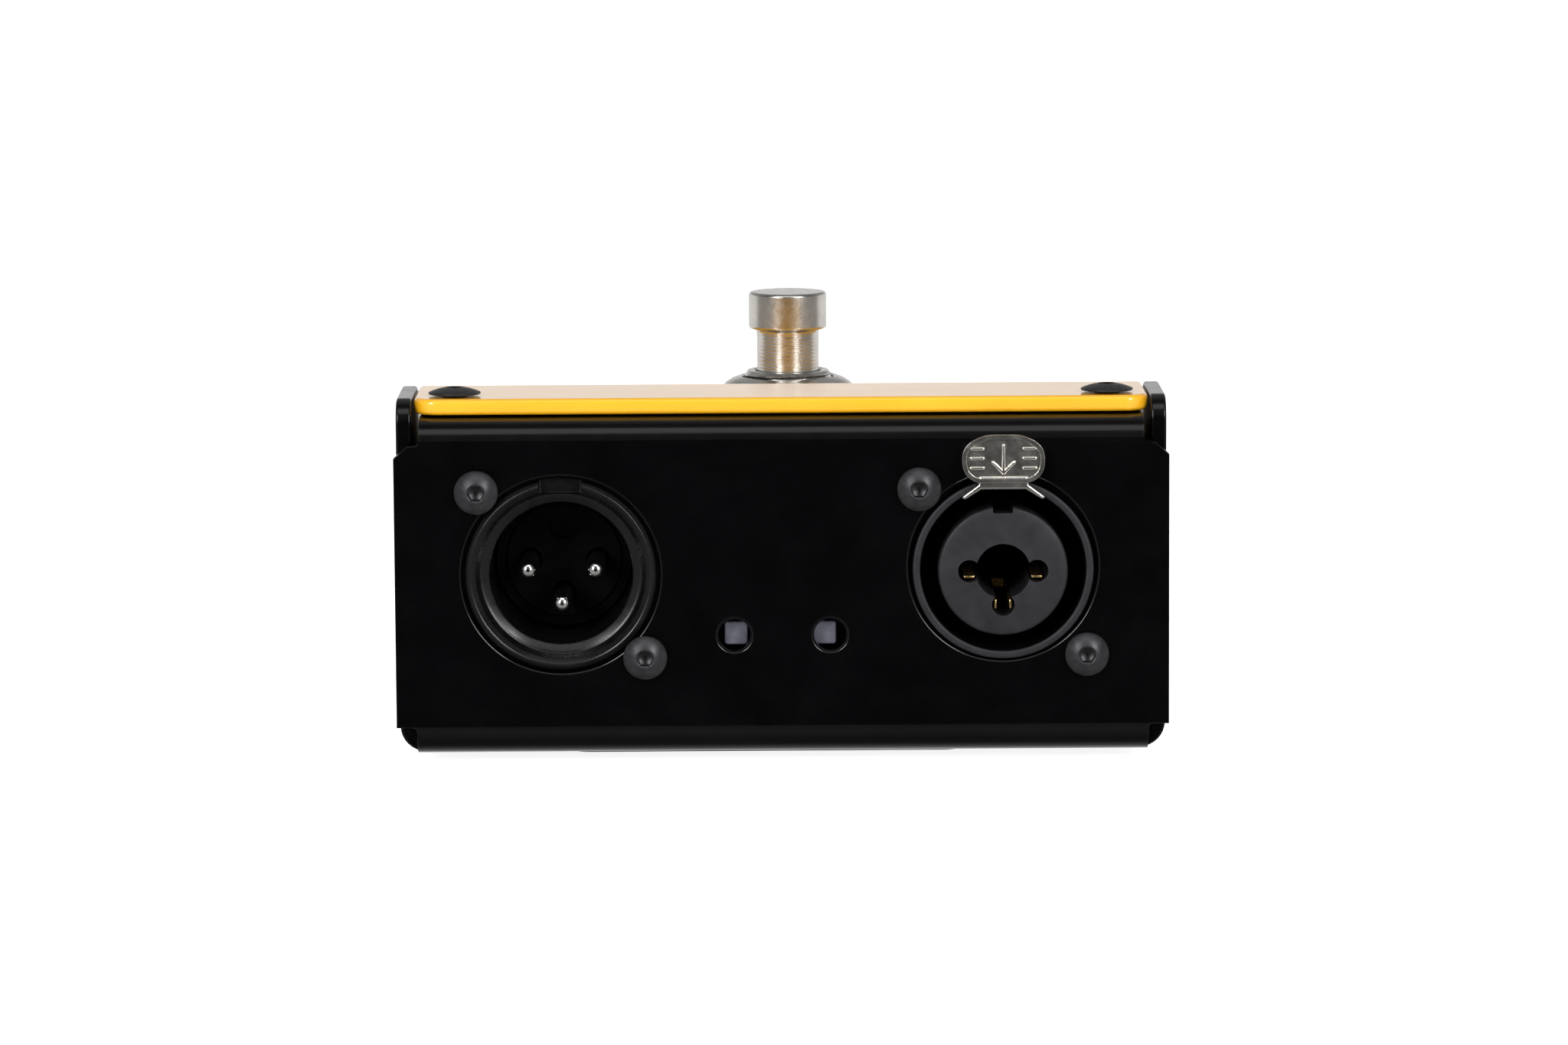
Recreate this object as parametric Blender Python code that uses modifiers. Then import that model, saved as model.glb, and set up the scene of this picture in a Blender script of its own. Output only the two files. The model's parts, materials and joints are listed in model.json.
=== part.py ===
"""Direct injection box: a folded steel case with an XLR output, a combined XLR and jack
input, two indicator lamps and a footswitch.

+X is to the right of someone who faces the connectors, +Y runs from the connector panel to the
player's end, and +Z is up. Every size is in millimetres and is turned into metres when a mesh
is made. A place is given as (x, depth, height): depth is measured back from the connector
panel's face, and height up from the underside of the case's floor.
"""

import math

import bmesh
import bpy
from mathutils import Matrix, Vector

MM = 0.001
GAP = 0.25
PAST = 1.0
ARC_STEPS = 4
MERGE = 1e-6

# Case
CASE_WIDTH = 95.25
CASE_DEPTH = 100.0
SHEET = 1.9
PANEL_BEND = 1.9
SIDE_BEND = 1.3
TOP_BEND = 1.3
WALL_HALF = 47.4
WALL_START = 2.2
WALL_CORNER = 3.0
RELIEF_WIDTH = 2.5
RELIEF_HEIGHT = 3.6
RELIEF_DEPTH = 4.0
FLANGE_LENGTH = 17.0
FLANGE_HALF = 44.5
SHOULDER_HALF = 45.9
SHOULDER_DROP = 3.2
EDGE_DROP = 4.6
SWITCH_NOTCH = 1.8

# Top plate, which steps down from a shelf over the connectors to a deck under the foot
PLATE_TOP = 44.0
DECK_TOP = 35.0
PLATE_THICK = 2.0
PLATE_HALF = 45.3
PLATE_INSET = 3.0
PLATE_CORNER = 3.0
PLATE_EDGE = 0.45
PLATE_BEND = 0.8
KINK_DEPTH = 19.5
RAMP_ANGLE = math.radians(40)
RAMP_END = KINK_DEPTH + (PLATE_TOP - DECK_TOP) / math.tan(RAMP_ANGLE)
FRONT_FLANGE_TOP = PLATE_TOP - PLATE_THICK - GAP
REAR_FLANGE_TOP = DECK_TOP - PLATE_THICK - GAP

# Pad under the case
PAD_THICK = 1.0
PAD_HALF = 25.0
PAD_SHIFT = -2.0
PAD_INSET = 10.0

# Screws and nuts
PLATE_SCREW_X = 40.3
PLATE_SCREW_FRONT = 7.2
PLATE_SCREW_REAR = CASE_DEPTH - 12.5
PLATE_SCREW_HEAD = 3.22
PLATE_SCREW_DOME = 1.0
PLATE_SCREW_SHANK = 1.5
PLATE_SCREW_LENGTH = 7.6
NUT_RADIUS = 3.2
NUT_THICK = 2.5
SCREW_CLEARANCE = 0.3
PANEL_SCREW_HEAD = 2.7
PANEL_SCREW_DOME = 1.55
PANEL_SCREW_SHANK = 1.42
PANEL_SCREW_LENGTH = 7.0
PANEL_SCREW_REACH = 10.3

# XLR output
OUTPUT_X = -27.2
OUTPUT_HEIGHT = 22.55
OUTPUT_HOLE = 12.5
OUTPUT_RIM = 11.8
OUTPUT_BORE = 8.8
OUTPUT_LENGTH = 22.0
OUTPUT_NOTCH_HALF = 2.65
INSERT_FACE = 14.5
INSERT_RADIUS = 8.5
RECESS_RISE = 4.5
RECESS_RADIUS = 2.0
PIN_CIRCLE = 4.18
PIN_RADIUS = 1.2
PIN_TIP = 3.6
PIN_TAIL = 0.35
TAIL_DEPTH = 25.0
TAIL_BEND = 0.7

# XLR and jack input
INPUT_X = 27.2
INPUT_HEIGHT = 22.65
INPUT_HOLE = 12.0
INPUT_HOLE_RISE = 0.6
RING_RISE = 0.3
RING_OUTER = 11.15
RING_INNER = 10.2
RING_FLOOR = 13.0
SLEEVE_BORE = 8.6
SLEEVE_OUTER = 9.9
INPUT_LENGTH = 34.5
HOUSING_BACK = 1.5
CABLE_HOLE = 4.6
SOCKET_RADIUS = 8.0
SOCKET_LENGTH = 22.0
JACK_RADIUS = 3.35
LOBE_RADIUS = 1.4
KEY_HALF = 1.25
KEY_DROP = 0.85
STRIP = 0.3
STRIP_HALF = 0.65
STRIP_DROP = 0.7
CONTACT_FRONT = 1.2
CONTACT_BACK = SOCKET_LENGTH - 1.0
FORK_HALF = 1.1
JACK_SPRING_HALF = 1.2
FLANGE_HALF_SIDE = 13.0
FLANGE_THICK = 3.0

# Latch on the input
LATCH_FRONT = -1.9
LATCH_THICK = 0.8
LATCH_HALF = 5.2
LATCH_LOW = 11.2
LATCH_TOP = 17.1
LATCH_GAP_DEPTH = 3.2
LATCH_GAP_HALF = 2.9
LATCH_PIVOT = (INPUT_X, 0.8, INPUT_HEIGHT + 10.3)

# Indicator lamps
LAMP_X = 5.9
LAMP_HEIGHT = 14.9
LAMP_HOLE = 2.3
LAMP_HALF = 1.45
LAMP_OFFSETS = (0.2, -0.7)

# Circuit board
BOARD_LOW = 6.5
BOARD_TOP = 8.1
BOARD_HALF = 42.0
BOARD_DEPTHS = (7.0, 68.0)
STANDOFF_X = 38.5
STANDOFF_DEPTHS = (37.5, 63.0)
STANDOFF_RADIUS = 3.2
BOARD_SCREW_HEAD = 2.6
BOARD_SCREW_DOME = 1.4
BOARD_SCREW_SHANK = 1.4
PARTS_ON_BOARD = BOARD_TOP + GAP

# Footswitch
SWITCH_X = 1.2
SWITCH_DEPTH = 82.0
SWITCH_HALF = 8.7
SWITCH_LOW = 12.0
SWITCH_TOP = 31.5
CAVITY_RADIUS = 5.3
CAVITY_LOW = 14.0
BUSHING_RADIUS = 5.9
BUSHING_BORE = 4.55
BUSHING_TOP = 38.9
BUSHING_FLANGE = 8.0
THREAD_CLEARANCE = 6.2
WASHER_RADIUS = 9.6
WASHER_THICK = 0.6
SWITCH_NUT = 8.9
SWITCH_NUT_TOP = 38.05
STEM_RADIUS = 4.2
STEM_LOW = 30.0
COLLAR_RADIUS = 5.0
COLLAR_TOP = STEM_LOW + 1.2
SPIGOT_RADIUS = 2.6
SPIGOT_LOW = STEM_LOW - 4.5
CAP_RADIUS = 5.25
CAP_LOW = 44.5
CAP_TOP = 49.5
SPRING_RADIUS = 3.7
SPRING_WIRE = 0.32
SPRING_TURNS = 5
SPRING_ENDS = (14.6, 29.4)

# Overall placing: the frame's origin is under the middle of the whole box
FACE_Y = -(CASE_DEPTH + LATCH_FRONT) / 2
BASE_Z = PAD_THICK + GAP

BLACK_STEEL = ((0.012, 0.012, 0.013), 0.55, 0.0)
YELLOW_PAINT = ((0.9, 0.46, 0.02), 0.2, 0.0)
BLACK_OXIDE = ((0.03, 0.03, 0.032), 0.4, 0.9)
PRESSED_STEEL = ((0.6, 0.6, 0.6), 0.4, 1.0)
DARK_PLASTIC = ((0.03, 0.028, 0.032), 0.5, 0.0)
SOFT_RUBBER = ((0.03, 0.025, 0.022), 0.9, 0.0)
NICKEL = ((0.62, 0.58, 0.52), 0.25, 1.0)
SILVER = ((0.85, 0.84, 0.82), 0.2, 1.0)
BRASS = ((0.75, 0.55, 0.25), 0.3, 1.0)
BOARD_GREEN = ((0.02, 0.16, 0.07), 0.5, 0.0)
MILKY = ((0.32, 0.32, 0.42), 0.4, 0.0)
COPPER = ((0.6, 0.3, 0.12), 0.4, 0.0)
CORE_STEEL = ((0.25, 0.25, 0.27), 0.5, 1.0)
CAPACITOR_BLUE = ((0.03, 0.05, 0.16), 0.4, 0.0)
WIRE_RED = ((0.4, 0.03, 0.03), 0.5, 0.0)

AXES = {
    "XY": Matrix.Identity(4),
    "YZ": Matrix(((0, 0, 1, 0), (1, 0, 0, 0), (0, 1, 0, 0), (0, 0, 0, 1))),
    "XZ": Matrix(((1, 0, 0, 0), (0, 0, -1, 0), (0, 1, 0, 0), (0, 0, 0, 1))),
}


# ---------------------------------------------------------------- outlines


def at(x, depth, height):
    """World position of a place on the box."""
    return Vector((x, FACE_Y + depth, BASE_Z + height)) * MM


def fillet(points, radii, closed=False, steps=ARC_STEPS):
    """The outline with each corner rounded to its own radius."""
    rounded = []
    last = len(points) - 1
    for i, (point, radius) in enumerate(zip(points, radii)):
        if radius == 0 or (not closed and i in (0, last)):
            rounded.append(tuple(point))
            continue
        here = Vector(point)
        before = (Vector(points[i - 1]) - here).normalized()
        after = (Vector(points[(i + 1) % len(points)]) - here).normalized()
        half = before.angle(after) / 2
        centre = here + (before + after).normalized() * radius / math.sin(half)
        start = here + before * radius / math.tan(half) - centre
        end = here + after * radius / math.tan(half) - centre
        first = math.atan2(start.y, start.x)
        sweep = math.remainder(math.atan2(end.y, end.x) - first, 2 * math.pi)
        for step in range(steps + 1):
            angle = first + sweep * step / steps
            rounded.append((centre.x + radius * math.cos(angle), centre.y + radius * math.sin(angle)))
    return rounded


def folded_sheet(path, thickness, inside_radii):
    """Outline of a sheet bent along a path, with its thickness to the left of the path."""
    ways = [(Vector(b) - Vector(a)).normalized() for a, b in zip(path, path[1:])]
    sides = [Vector((-way.y, way.x)) for way in ways]
    offset = [Vector(path[0]) + sides[0] * thickness]
    near_radii = [0]
    far_radii = [0]
    for i, point in enumerate(path[1:-1]):
        before, after = sides[i], sides[i + 1]
        offset.append(Vector(point) + (before + after) * thickness / (1 + before.dot(after)))
        left_turn = ways[i].cross(ways[i + 1]) > 0
        near_radii.append(inside_radii[i] + (thickness if left_turn else 0))
        far_radii.append(inside_radii[i] + (0 if left_turn else thickness))
    offset.append(Vector(path[-1]) + sides[-1] * thickness)
    near = fillet(path, near_radii + [0])
    far = fillet([tuple(point) for point in offset], far_radii + [0])
    return near + far[::-1]


def rectangle(x_range, y_range, radius=0.0):
    """A rectangle with rounded corners."""
    (left, right), (low, high) = x_range, y_range
    corners = [(left, low), (right, low), (right, high), (left, high)]
    return fillet(corners, [radius] * 4, closed=True)


def circle(x, y, radius, steps=20):
    """A regular outline round a point."""
    turns = [2 * math.pi * i / steps for i in range(steps)]
    return [(x + radius * math.cos(turn), y + radius * math.sin(turn)) for turn in turns]


# ---------------------------------------------------------------- solids


def new_object(name, mesh, matrix):
    thing = bpy.data.objects.new(name, mesh)
    thing.matrix_world = matrix
    bpy.context.scene.collection.objects.link(thing)
    return thing


def evaluated_mesh(thing):
    bpy.context.view_layer.update()
    graph = bpy.context.evaluated_depsgraph_get()
    return bpy.data.meshes.new_from_object(thing.evaluated_get(graph))


def apply_modifiers(thing):
    mesh = evaluated_mesh(thing)
    thing.modifiers.clear()
    thing.data = mesh


def welded(name, curve_object):
    """A curve object turned into a mesh object with its loose caps joined on."""
    mesh = evaluated_mesh(curve_object)
    shape = bmesh.new()
    shape.from_mesh(mesh)
    bmesh.ops.remove_doubles(shape, verts=shape.verts, dist=MERGE)
    bmesh.ops.recalc_face_normals(shape, faces=shape.faces)
    shape.to_mesh(mesh)
    shape.free()
    matrix = curve_object.matrix_world.copy()
    bpy.data.objects.remove(curve_object)
    return new_object(name, mesh, matrix)


def slab(name, plane, outlines, low, high):
    """A flat outline, with any holes in it, made solid from low to high across its plane."""
    curve = bpy.data.curves.new(name, "CURVE")
    curve.dimensions = "2D"
    curve.fill_mode = "BOTH"
    curve.extrude = (high - low) / 2 * MM
    for outline in outlines:
        spline = curve.splines.new("POLY")
        spline.points.add(len(outline) - 1)
        spline.use_cyclic_u = True
        for point, (u, v) in zip(spline.points, outline):
            point.co = (u * MM, v * MM, 0, 1)
    middle = (low + high) / 2
    centre = {"XY": (0, 0, middle), "YZ": (middle, 0, 0), "XZ": (0, middle, 0)}[plane]
    return welded(name, new_object(name, curve, Matrix.Translation(at(*centre)) @ AXES[plane]))


def block(name, low, high):
    """A box between two opposite corners."""
    mesh = bpy.data.meshes.new(name)
    shape = bmesh.new()
    size = (Vector(high) - Vector(low)) * MM
    bmesh.ops.create_cube(shape, size=1, matrix=Matrix.Diagonal(size).to_4x4())
    shape.to_mesh(mesh)
    shape.free()
    middle = (Vector(low) + Vector(high)) / 2
    return new_object(name, mesh, Matrix.Translation(at(*middle)))


def rod(name, plane, centre, radius, low, high, steps=20):
    """A cylinder or, with few steps, a prism across a plane."""
    mesh = bpy.data.meshes.new(name)
    shape = bmesh.new()
    length = (high - low) * MM
    bmesh.ops.create_cone(
        shape, cap_ends=True, segments=steps, radius1=radius * MM, radius2=radius * MM, depth=length
    )
    shape.to_mesh(mesh)
    shape.free()
    middle = (low + high) / 2
    u, v = centre
    place = {"XY": (u, v, middle), "YZ": (middle, u, v), "XZ": (u, middle, v)}[plane]
    return new_object(name, mesh, Matrix.Translation(at(*place)) @ AXES[plane])


def turned(name, plane, centre, profile, steps=32):
    """A profile of (radius, distance) points turned about an axis across the plane.

    The distance is a height on an upright axis and a depth on one that faces the player. A
    profile that starts and ends on the axis is solid, and any other closes on itself. Both run
    along the outer side from the top, or the front, to the far end.
    """
    solid = profile[0][0] == 0
    sign = 1 if plane == "XY" else -1
    mesh = bpy.data.meshes.new(name)
    points = [(radius * MM, 0, sign * distance * MM) for radius, distance in profile]
    edges = [(i, i + 1) for i in range(len(points) - 1)]
    if not solid:
        edges.append((len(points) - 1, 0))
    mesh.from_pydata(points, edges, [])
    u, v = centre
    place = (u, v, 0) if plane == "XY" else (u, 0, v)
    thing = new_object(name, mesh, Matrix.Translation(at(*place)) @ AXES[plane])
    screw = thing.modifiers.new("Turn", "SCREW")
    screw.steps = steps
    screw.render_steps = steps
    screw.use_merge_vertices = True
    screw.merge_threshold = MERGE
    apply_modifiers(thing)
    return thing


def wire(name, points, radius, scales=None, sides=2):
    """A round wire through places on the box, thinned where a scale is given."""
    curve = bpy.data.curves.new(name, "CURVE")
    curve.dimensions = "3D"
    curve.bevel_depth = radius * MM
    curve.bevel_resolution = sides
    curve.use_fill_caps = True
    spline = curve.splines.new("POLY")
    spline.points.add(len(points) - 1)
    for i, (point, place) in enumerate(zip(spline.points, points)):
        point.co = (*at(*place), 1)
        point.radius = scales[i] if scales else 1.0
    return welded(name, new_object(name, curve, Matrix.Identity(4)))


def smooth_path(points, steps=4):
    """More places on a smooth curve through the given ones."""
    places = [Vector(point) for point in points]
    ends = [2 * places[0] - places[1], *places, 2 * places[-1] - places[-2]]
    path = []
    for a, b, c, d in zip(ends, ends[1:], ends[2:], ends[3:]):
        for step in range(steps):
            t = step / steps
            bend = 2 * a - 5 * b + 4 * c - d
            lift = 3 * b - a - 3 * c + d
            path.append(b + (c - a) * t / 2 + bend * t * t / 2 + lift * t ** 3 / 2)
    return path + [places[-1]]


def combine(target, tools, operation):
    """The target after a Boolean with each tool. The tools are used up."""
    for tool in tools:
        change = target.modifiers.new(operation.title(), "BOOLEAN")
        change.operation = operation
        change.object = tool
    apply_modifiers(target)
    for tool in tools:
        bpy.data.objects.remove(tool)
    return target


def cut(target, *tools):
    return combine(target, tools, "DIFFERENCE")


def join(target, *tools):
    return combine(target, tools, "UNION")


def soften(thing, width, steps=2, limit=50):
    """Rounds the sharp edges."""
    bevel = thing.modifiers.new("Edges", "BEVEL")
    bevel.width = width * MM
    bevel.segments = steps
    bevel.angle_limit = math.radians(limit)
    apply_modifiers(thing)
    return thing


def move_origin(thing, place):
    """Puts the object's origin at a place and leaves its shape where it is."""
    target = Matrix.Translation(at(*place))
    thing.data.transform(target.inverted() @ thing.matrix_world)
    thing.matrix_world = target


def finish(thing, look):
    """Gives a finished part its material, its shading and its place in the collection."""
    colour, roughness, metallic = look
    paint = bpy.data.materials.new(thing.name)
    paint.use_nodes = True
    shader = paint.node_tree.nodes["Principled BSDF"]
    shader.inputs["Base Color"].default_value = (*colour, 1)
    shader.inputs["Roughness"].default_value = roughness
    shader.inputs["Metallic"].default_value = metallic
    thing.data.materials.clear()
    thing.data.materials.append(paint)
    thing.data.shade_smooth()
    thing.data.set_sharp_from_angle(angle=math.radians(35))
    bpy.context.scene.collection.objects.unlink(thing)
    bpy.data.collections["direct_injection_box"].objects.link(thing)


# ---------------------------------------------------------------- case


def case_strip():
    """The strip that is folded into flange, connector panel, floor, end panel and flange."""
    path = [
        (FLANGE_LENGTH, FRONT_FLANGE_TOP),
        (0, FRONT_FLANGE_TOP),
        (0, 0),
        (CASE_DEPTH, 0),
        (CASE_DEPTH, REAR_FLANGE_TOP),
        (CASE_DEPTH - FLANGE_LENGTH, REAR_FLANGE_TOP),
    ]
    outline = folded_sheet(path, SHEET, (TOP_BEND, PANEL_BEND, PANEL_BEND, TOP_BEND))
    strip = slab("chassis", "YZ", [outline], -CASE_WIDTH / 2, CASE_WIDTH / 2)
    floor_half = WALL_HALF - SIDE_BEND - SHEET
    cutters = []
    for side in (-1, 1):
        strip_side = sorted((side * floor_half, side * (CASE_WIDTH / 2 + PAST)))
        low = (strip_side[0], RELIEF_DEPTH, -PAST)
        high = (strip_side[1], CASE_DEPTH - RELIEF_DEPTH, RELIEF_HEIGHT)
        cutters.append(block("floor_edge", low, high))
        relief = sorted((side * (CASE_WIDTH / 2 - RELIEF_WIDTH), side * (CASE_WIDTH / 2 + PAST)))
        for start, end in ((-PAST, RELIEF_DEPTH), (CASE_DEPTH - RELIEF_DEPTH, CASE_DEPTH + PAST)):
            cutters.append(block("relief", (relief[0], start, -PAST), (relief[1], end, RELIEF_HEIGHT)))
        for top, start in ((FRONT_FLANGE_TOP, 0), (REAR_FLANGE_TOP, CASE_DEPTH - FLANGE_LENGTH)):
            shoulder = top - SHOULDER_DROP
            outer = CASE_WIDTH / 2 + PAST
            corner = [
                (side * outer, top - EDGE_DROP - PAST),
                (side * SHOULDER_HALF, shoulder),
                (side * FLANGE_HALF, shoulder),
                (side * FLANGE_HALF, top + PAST),
                (side * outer, top + PAST),
            ]
            cutters.append(slab("shoulder", "XZ", [corner], start - PAST, start + FLANGE_LENGTH + PAST))
    return cut(strip, *cutters)


def case_walls():
    """The two side walls with the floor that joins them, trimmed to the plate's line."""
    top = PLATE_TOP + PAST
    path = [(-WALL_HALF, top), (-WALL_HALF, 0), (WALL_HALF, 0), (WALL_HALF, top)]
    outline = folded_sheet(path, SHEET, (SIDE_BEND, SIDE_BEND))
    walls = slab("walls", "XZ", [outline], 0, CASE_DEPTH)
    back = CASE_DEPTH - WALL_START
    relief_back = CASE_DEPTH - RELIEF_DEPTH
    side_view = [
        (RELIEF_DEPTH, -PAST),
        (RELIEF_DEPTH, RELIEF_HEIGHT),
        (WALL_START, RELIEF_HEIGHT),
        (WALL_START, PLATE_TOP),
        (KINK_DEPTH, PLATE_TOP),
        (RAMP_END, DECK_TOP),
        (back, DECK_TOP),
        (back, RELIEF_HEIGHT),
        (relief_back, RELIEF_HEIGHT),
        (relief_back, -PAST),
    ]
    radii = (0, 0, 0, WALL_CORNER, WALL_CORNER, WALL_CORNER, WALL_CORNER, 0, 0, 0)
    trim = slab("trim", "YZ", [fillet(side_view, radii, closed=True)], -CASE_WIDTH, CASE_WIDTH)
    return combine(walls, [trim], "INTERSECT")


def panel_screw_places(x, height):
    """The two screws of a connector: upper left and lower right."""
    return [(x + way * PANEL_SCREW_REACH, height - way * PANEL_SCREW_REACH) for way in (-1, 1)]


def plate_screw_places():
    """Plan place and plate height of each of the four screws."""
    ends = ((PLATE_SCREW_FRONT, PLATE_TOP), (PLATE_SCREW_REAR, DECK_TOP))
    return [(x, depth, top) for depth, top in ends for x in (-PLATE_SCREW_X, PLATE_SCREW_X)]


def make_chassis():
    case = join(case_strip(), case_walls())
    through = (-PAST, SHEET + PAST)
    holes = [
        rod("output_hole", "XZ", (OUTPUT_X, OUTPUT_HEIGHT), OUTPUT_HOLE, *through, steps=40),
        rod("input_hole", "XZ", (INPUT_X, INPUT_HEIGHT + INPUT_HOLE_RISE), INPUT_HOLE, *through, steps=40),
    ]
    for side in (-1, 1):
        holes.append(rod("lamp_hole", "XZ", (side * LAMP_X, LAMP_HEIGHT), LAMP_HOLE, *through))
    screw_hole = PANEL_SCREW_SHANK + SCREW_CLEARANCE
    for x, height in ((OUTPUT_X, OUTPUT_HEIGHT), (INPUT_X, INPUT_HEIGHT)):
        for place in panel_screw_places(x, height):
            holes.append(rod("screw_hole", "XZ", place, screw_hole, *through, steps=12))
    plate_hole = PLATE_SCREW_SHANK + SCREW_CLEARANCE
    for x, depth, top in plate_screw_places():
        low = top - PLATE_THICK - GAP - SHEET - PAST
        holes.append(rod("plate_hole", "XY", (x, depth), plate_hole, low, top, steps=12))
    half = SWITCH_HALF + SWITCH_NOTCH
    low = (SWITCH_X - half, CASE_DEPTH - FLANGE_LENGTH - PAST, REAR_FLANGE_TOP - SHEET - PAST)
    high = (SWITCH_X + half, SWITCH_DEPTH + half, REAR_FLANGE_TOP + PAST)
    holes.append(block("switch_notch", low, high))
    finish(cut(case, *holes), BLACK_STEEL)


def make_top_plate():
    path = [
        (CASE_DEPTH - PLATE_INSET, DECK_TOP),
        (RAMP_END, DECK_TOP),
        (KINK_DEPTH, PLATE_TOP),
        (PLATE_INSET, PLATE_TOP),
    ]
    folded = folded_sheet(path, PLATE_THICK, (PLATE_BEND, PLATE_BEND))
    sheet = slab("top_plate", "YZ", [folded], -PLATE_HALF - PAST, PLATE_HALF + PAST)
    depths = (PLATE_INSET, CASE_DEPTH - PLATE_INSET)
    outline = rectangle((-PLATE_HALF, PLATE_HALF), depths, PLATE_CORNER)
    plan = slab("plan", "XY", [outline], DECK_TOP - 2 * PLATE_THICK, PLATE_TOP + PAST)
    plate = soften(combine(sheet, [plan], "INTERSECT"), PLATE_EDGE)
    low = DECK_TOP - PLATE_THICK - PAST
    switch = (SWITCH_X, SWITCH_DEPTH)
    holes = [rod("switch_hole", "XY", switch, THREAD_CLEARANCE, low, PLATE_TOP, steps=28)]
    screw_hole = PLATE_SCREW_SHANK + SCREW_CLEARANCE
    for x, depth, _ in plate_screw_places():
        holes.append(rod("screw_hole", "XY", (x, depth), screw_hole, low, PLATE_TOP + PAST, steps=12))
    finish(cut(plate, *holes), YELLOW_PAINT)


def make_bottom_pad():
    x_range = (PAD_SHIFT - PAD_HALF, PAD_SHIFT + PAD_HALF)
    outline = rectangle(x_range, (PAD_INSET, CASE_DEPTH - PAD_INSET), 3.0)
    finish(slab("bottom_pad", "XY", [outline], -BASE_Z, -GAP), SOFT_RUBBER)


# ---------------------------------------------------------------- fasteners


def make_screw(name, plane, centre, seat, head, dome, shank, length, look):
    """A low domed socket screw. It runs from its seat down, or back on a panel screw."""
    out = 1 if plane == "XY" else -1
    top = seat + out * (GAP + dome)
    profile = [(0, top)]
    for turn in (25, 50, 72):
        angle = math.radians(turn)
        profile.append((head * math.sin(angle), seat + out * (GAP + dome * math.cos(angle))))
    rim = seat + out * GAP
    end = seat - out * length
    profile += [(head, rim + out * dome / 5), (head, rim), (shank, rim), (shank, end), (0, end)]
    screw = turned(name, plane, centre, profile, steps=16)
    socket = sorted((top - out * dome * 0.8, top + out * PAST))
    finish(cut(screw, rod("socket", plane, centre, head * 0.45, *socket, steps=6)), look)


def make_plate_fasteners():
    for number, (x, depth, top) in enumerate(plate_screw_places(), 1):
        make_screw(
            f"plate_screw_{number}", "XY", (x, depth), top,
            PLATE_SCREW_HEAD, PLATE_SCREW_DOME, PLATE_SCREW_SHANK, PLATE_SCREW_LENGTH, BLACK_OXIDE,
        )
        high = top - PLATE_THICK - SHEET - 2 * GAP
        outline = circle(x, depth, NUT_RADIUS, 6)
        hole = circle(x, depth, PLATE_SCREW_SHANK + SCREW_CLEARANCE, 12)
        nut = slab(f"plate_nut_{number}", "XY", [outline, hole], high - NUT_THICK, high)
        finish(nut, PRESSED_STEEL)


def make_panel_screws(prefix, x, height):
    for number, place in enumerate(panel_screw_places(x, height), 1):
        make_screw(
            f"{prefix}_screw_{number}", "XZ", place, 0,
            PANEL_SCREW_HEAD, PANEL_SCREW_DOME, PANEL_SCREW_SHANK, PANEL_SCREW_LENGTH, BLACK_OXIDE,
        )


# ---------------------------------------------------------------- connectors


def connector_flange(x, height, hole):
    """The square mounting flange behind the panel, with its two screw holes."""
    sides = (x - FLANGE_HALF_SIDE, x + FLANGE_HALF_SIDE)
    outline = rectangle(sides, (height - FLANGE_HALF_SIDE, height + FLANGE_HALF_SIDE), 2.6)
    outlines = [outline, circle(x, height, hole, 32)]
    for u, v in panel_screw_places(x, height):
        outlines.append(circle(u, v, PANEL_SCREW_SHANK + SCREW_CLEARANCE, 12))
    front = SHEET + GAP
    return slab("flange", "XZ", outlines, front, front + FLANGE_THICK)


def make_output():
    centre = (OUTPUT_X, OUTPUT_HEIGHT)
    profile = [
        (OUTPUT_RIM - 0.7, -0.3),
        (OUTPUT_RIM, 0.2),
        (OUTPUT_RIM, OUTPUT_LENGTH),
        (OUTPUT_BORE, OUTPUT_LENGTH),
        (OUTPUT_BORE, 3.0),
        (10.1, 1.0),
        (10.4, 0.7),
    ]
    shell = turned("output_shell", "XZ", centre, profile, steps=40)
    low = (OUTPUT_X - OUTPUT_NOTCH_HALF, -PAST, OUTPUT_HEIGHT + OUTPUT_BORE - 1.5)
    high = (OUTPUT_X + OUTPUT_NOTCH_HALF, SHEET, OUTPUT_HEIGHT + OUTPUT_RIM + PAST)
    shell = cut(shell, block("latch_notch", low, high))
    finish(join(shell, connector_flange(*centre, OUTPUT_BORE + 1.5)), DARK_PLASTIC)
    back = OUTPUT_LENGTH - 0.5
    disc = turned(
        "output_insert", "XZ", centre,
        [(0, INSERT_FACE), (INSERT_RADIUS, INSERT_FACE), (INSERT_RADIUS, back), (0, back)],
    )
    front = INSERT_FACE - PAST
    place = (OUTPUT_X, OUTPUT_HEIGHT + RECESS_RISE)
    holes = [rod("recess", "XZ", place, RECESS_RADIUS, front, INSERT_FACE + PAST, 16)]
    for place in pin_places(*centre):
        holes.append(rod("pin_hole", "XZ", place, PIN_RADIUS + GAP, front, back + PAST, 12))
    finish(cut(disc, *holes), DARK_PLASTIC)
    make_output_pins()
    make_panel_screws("output", *centre)


def pin_places(x, height):
    """The three contacts: right, left and bottom."""
    return [(x + PIN_CIRCLE, height), (x - PIN_CIRCLE, height), (x, height - PIN_CIRCLE)]


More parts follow.
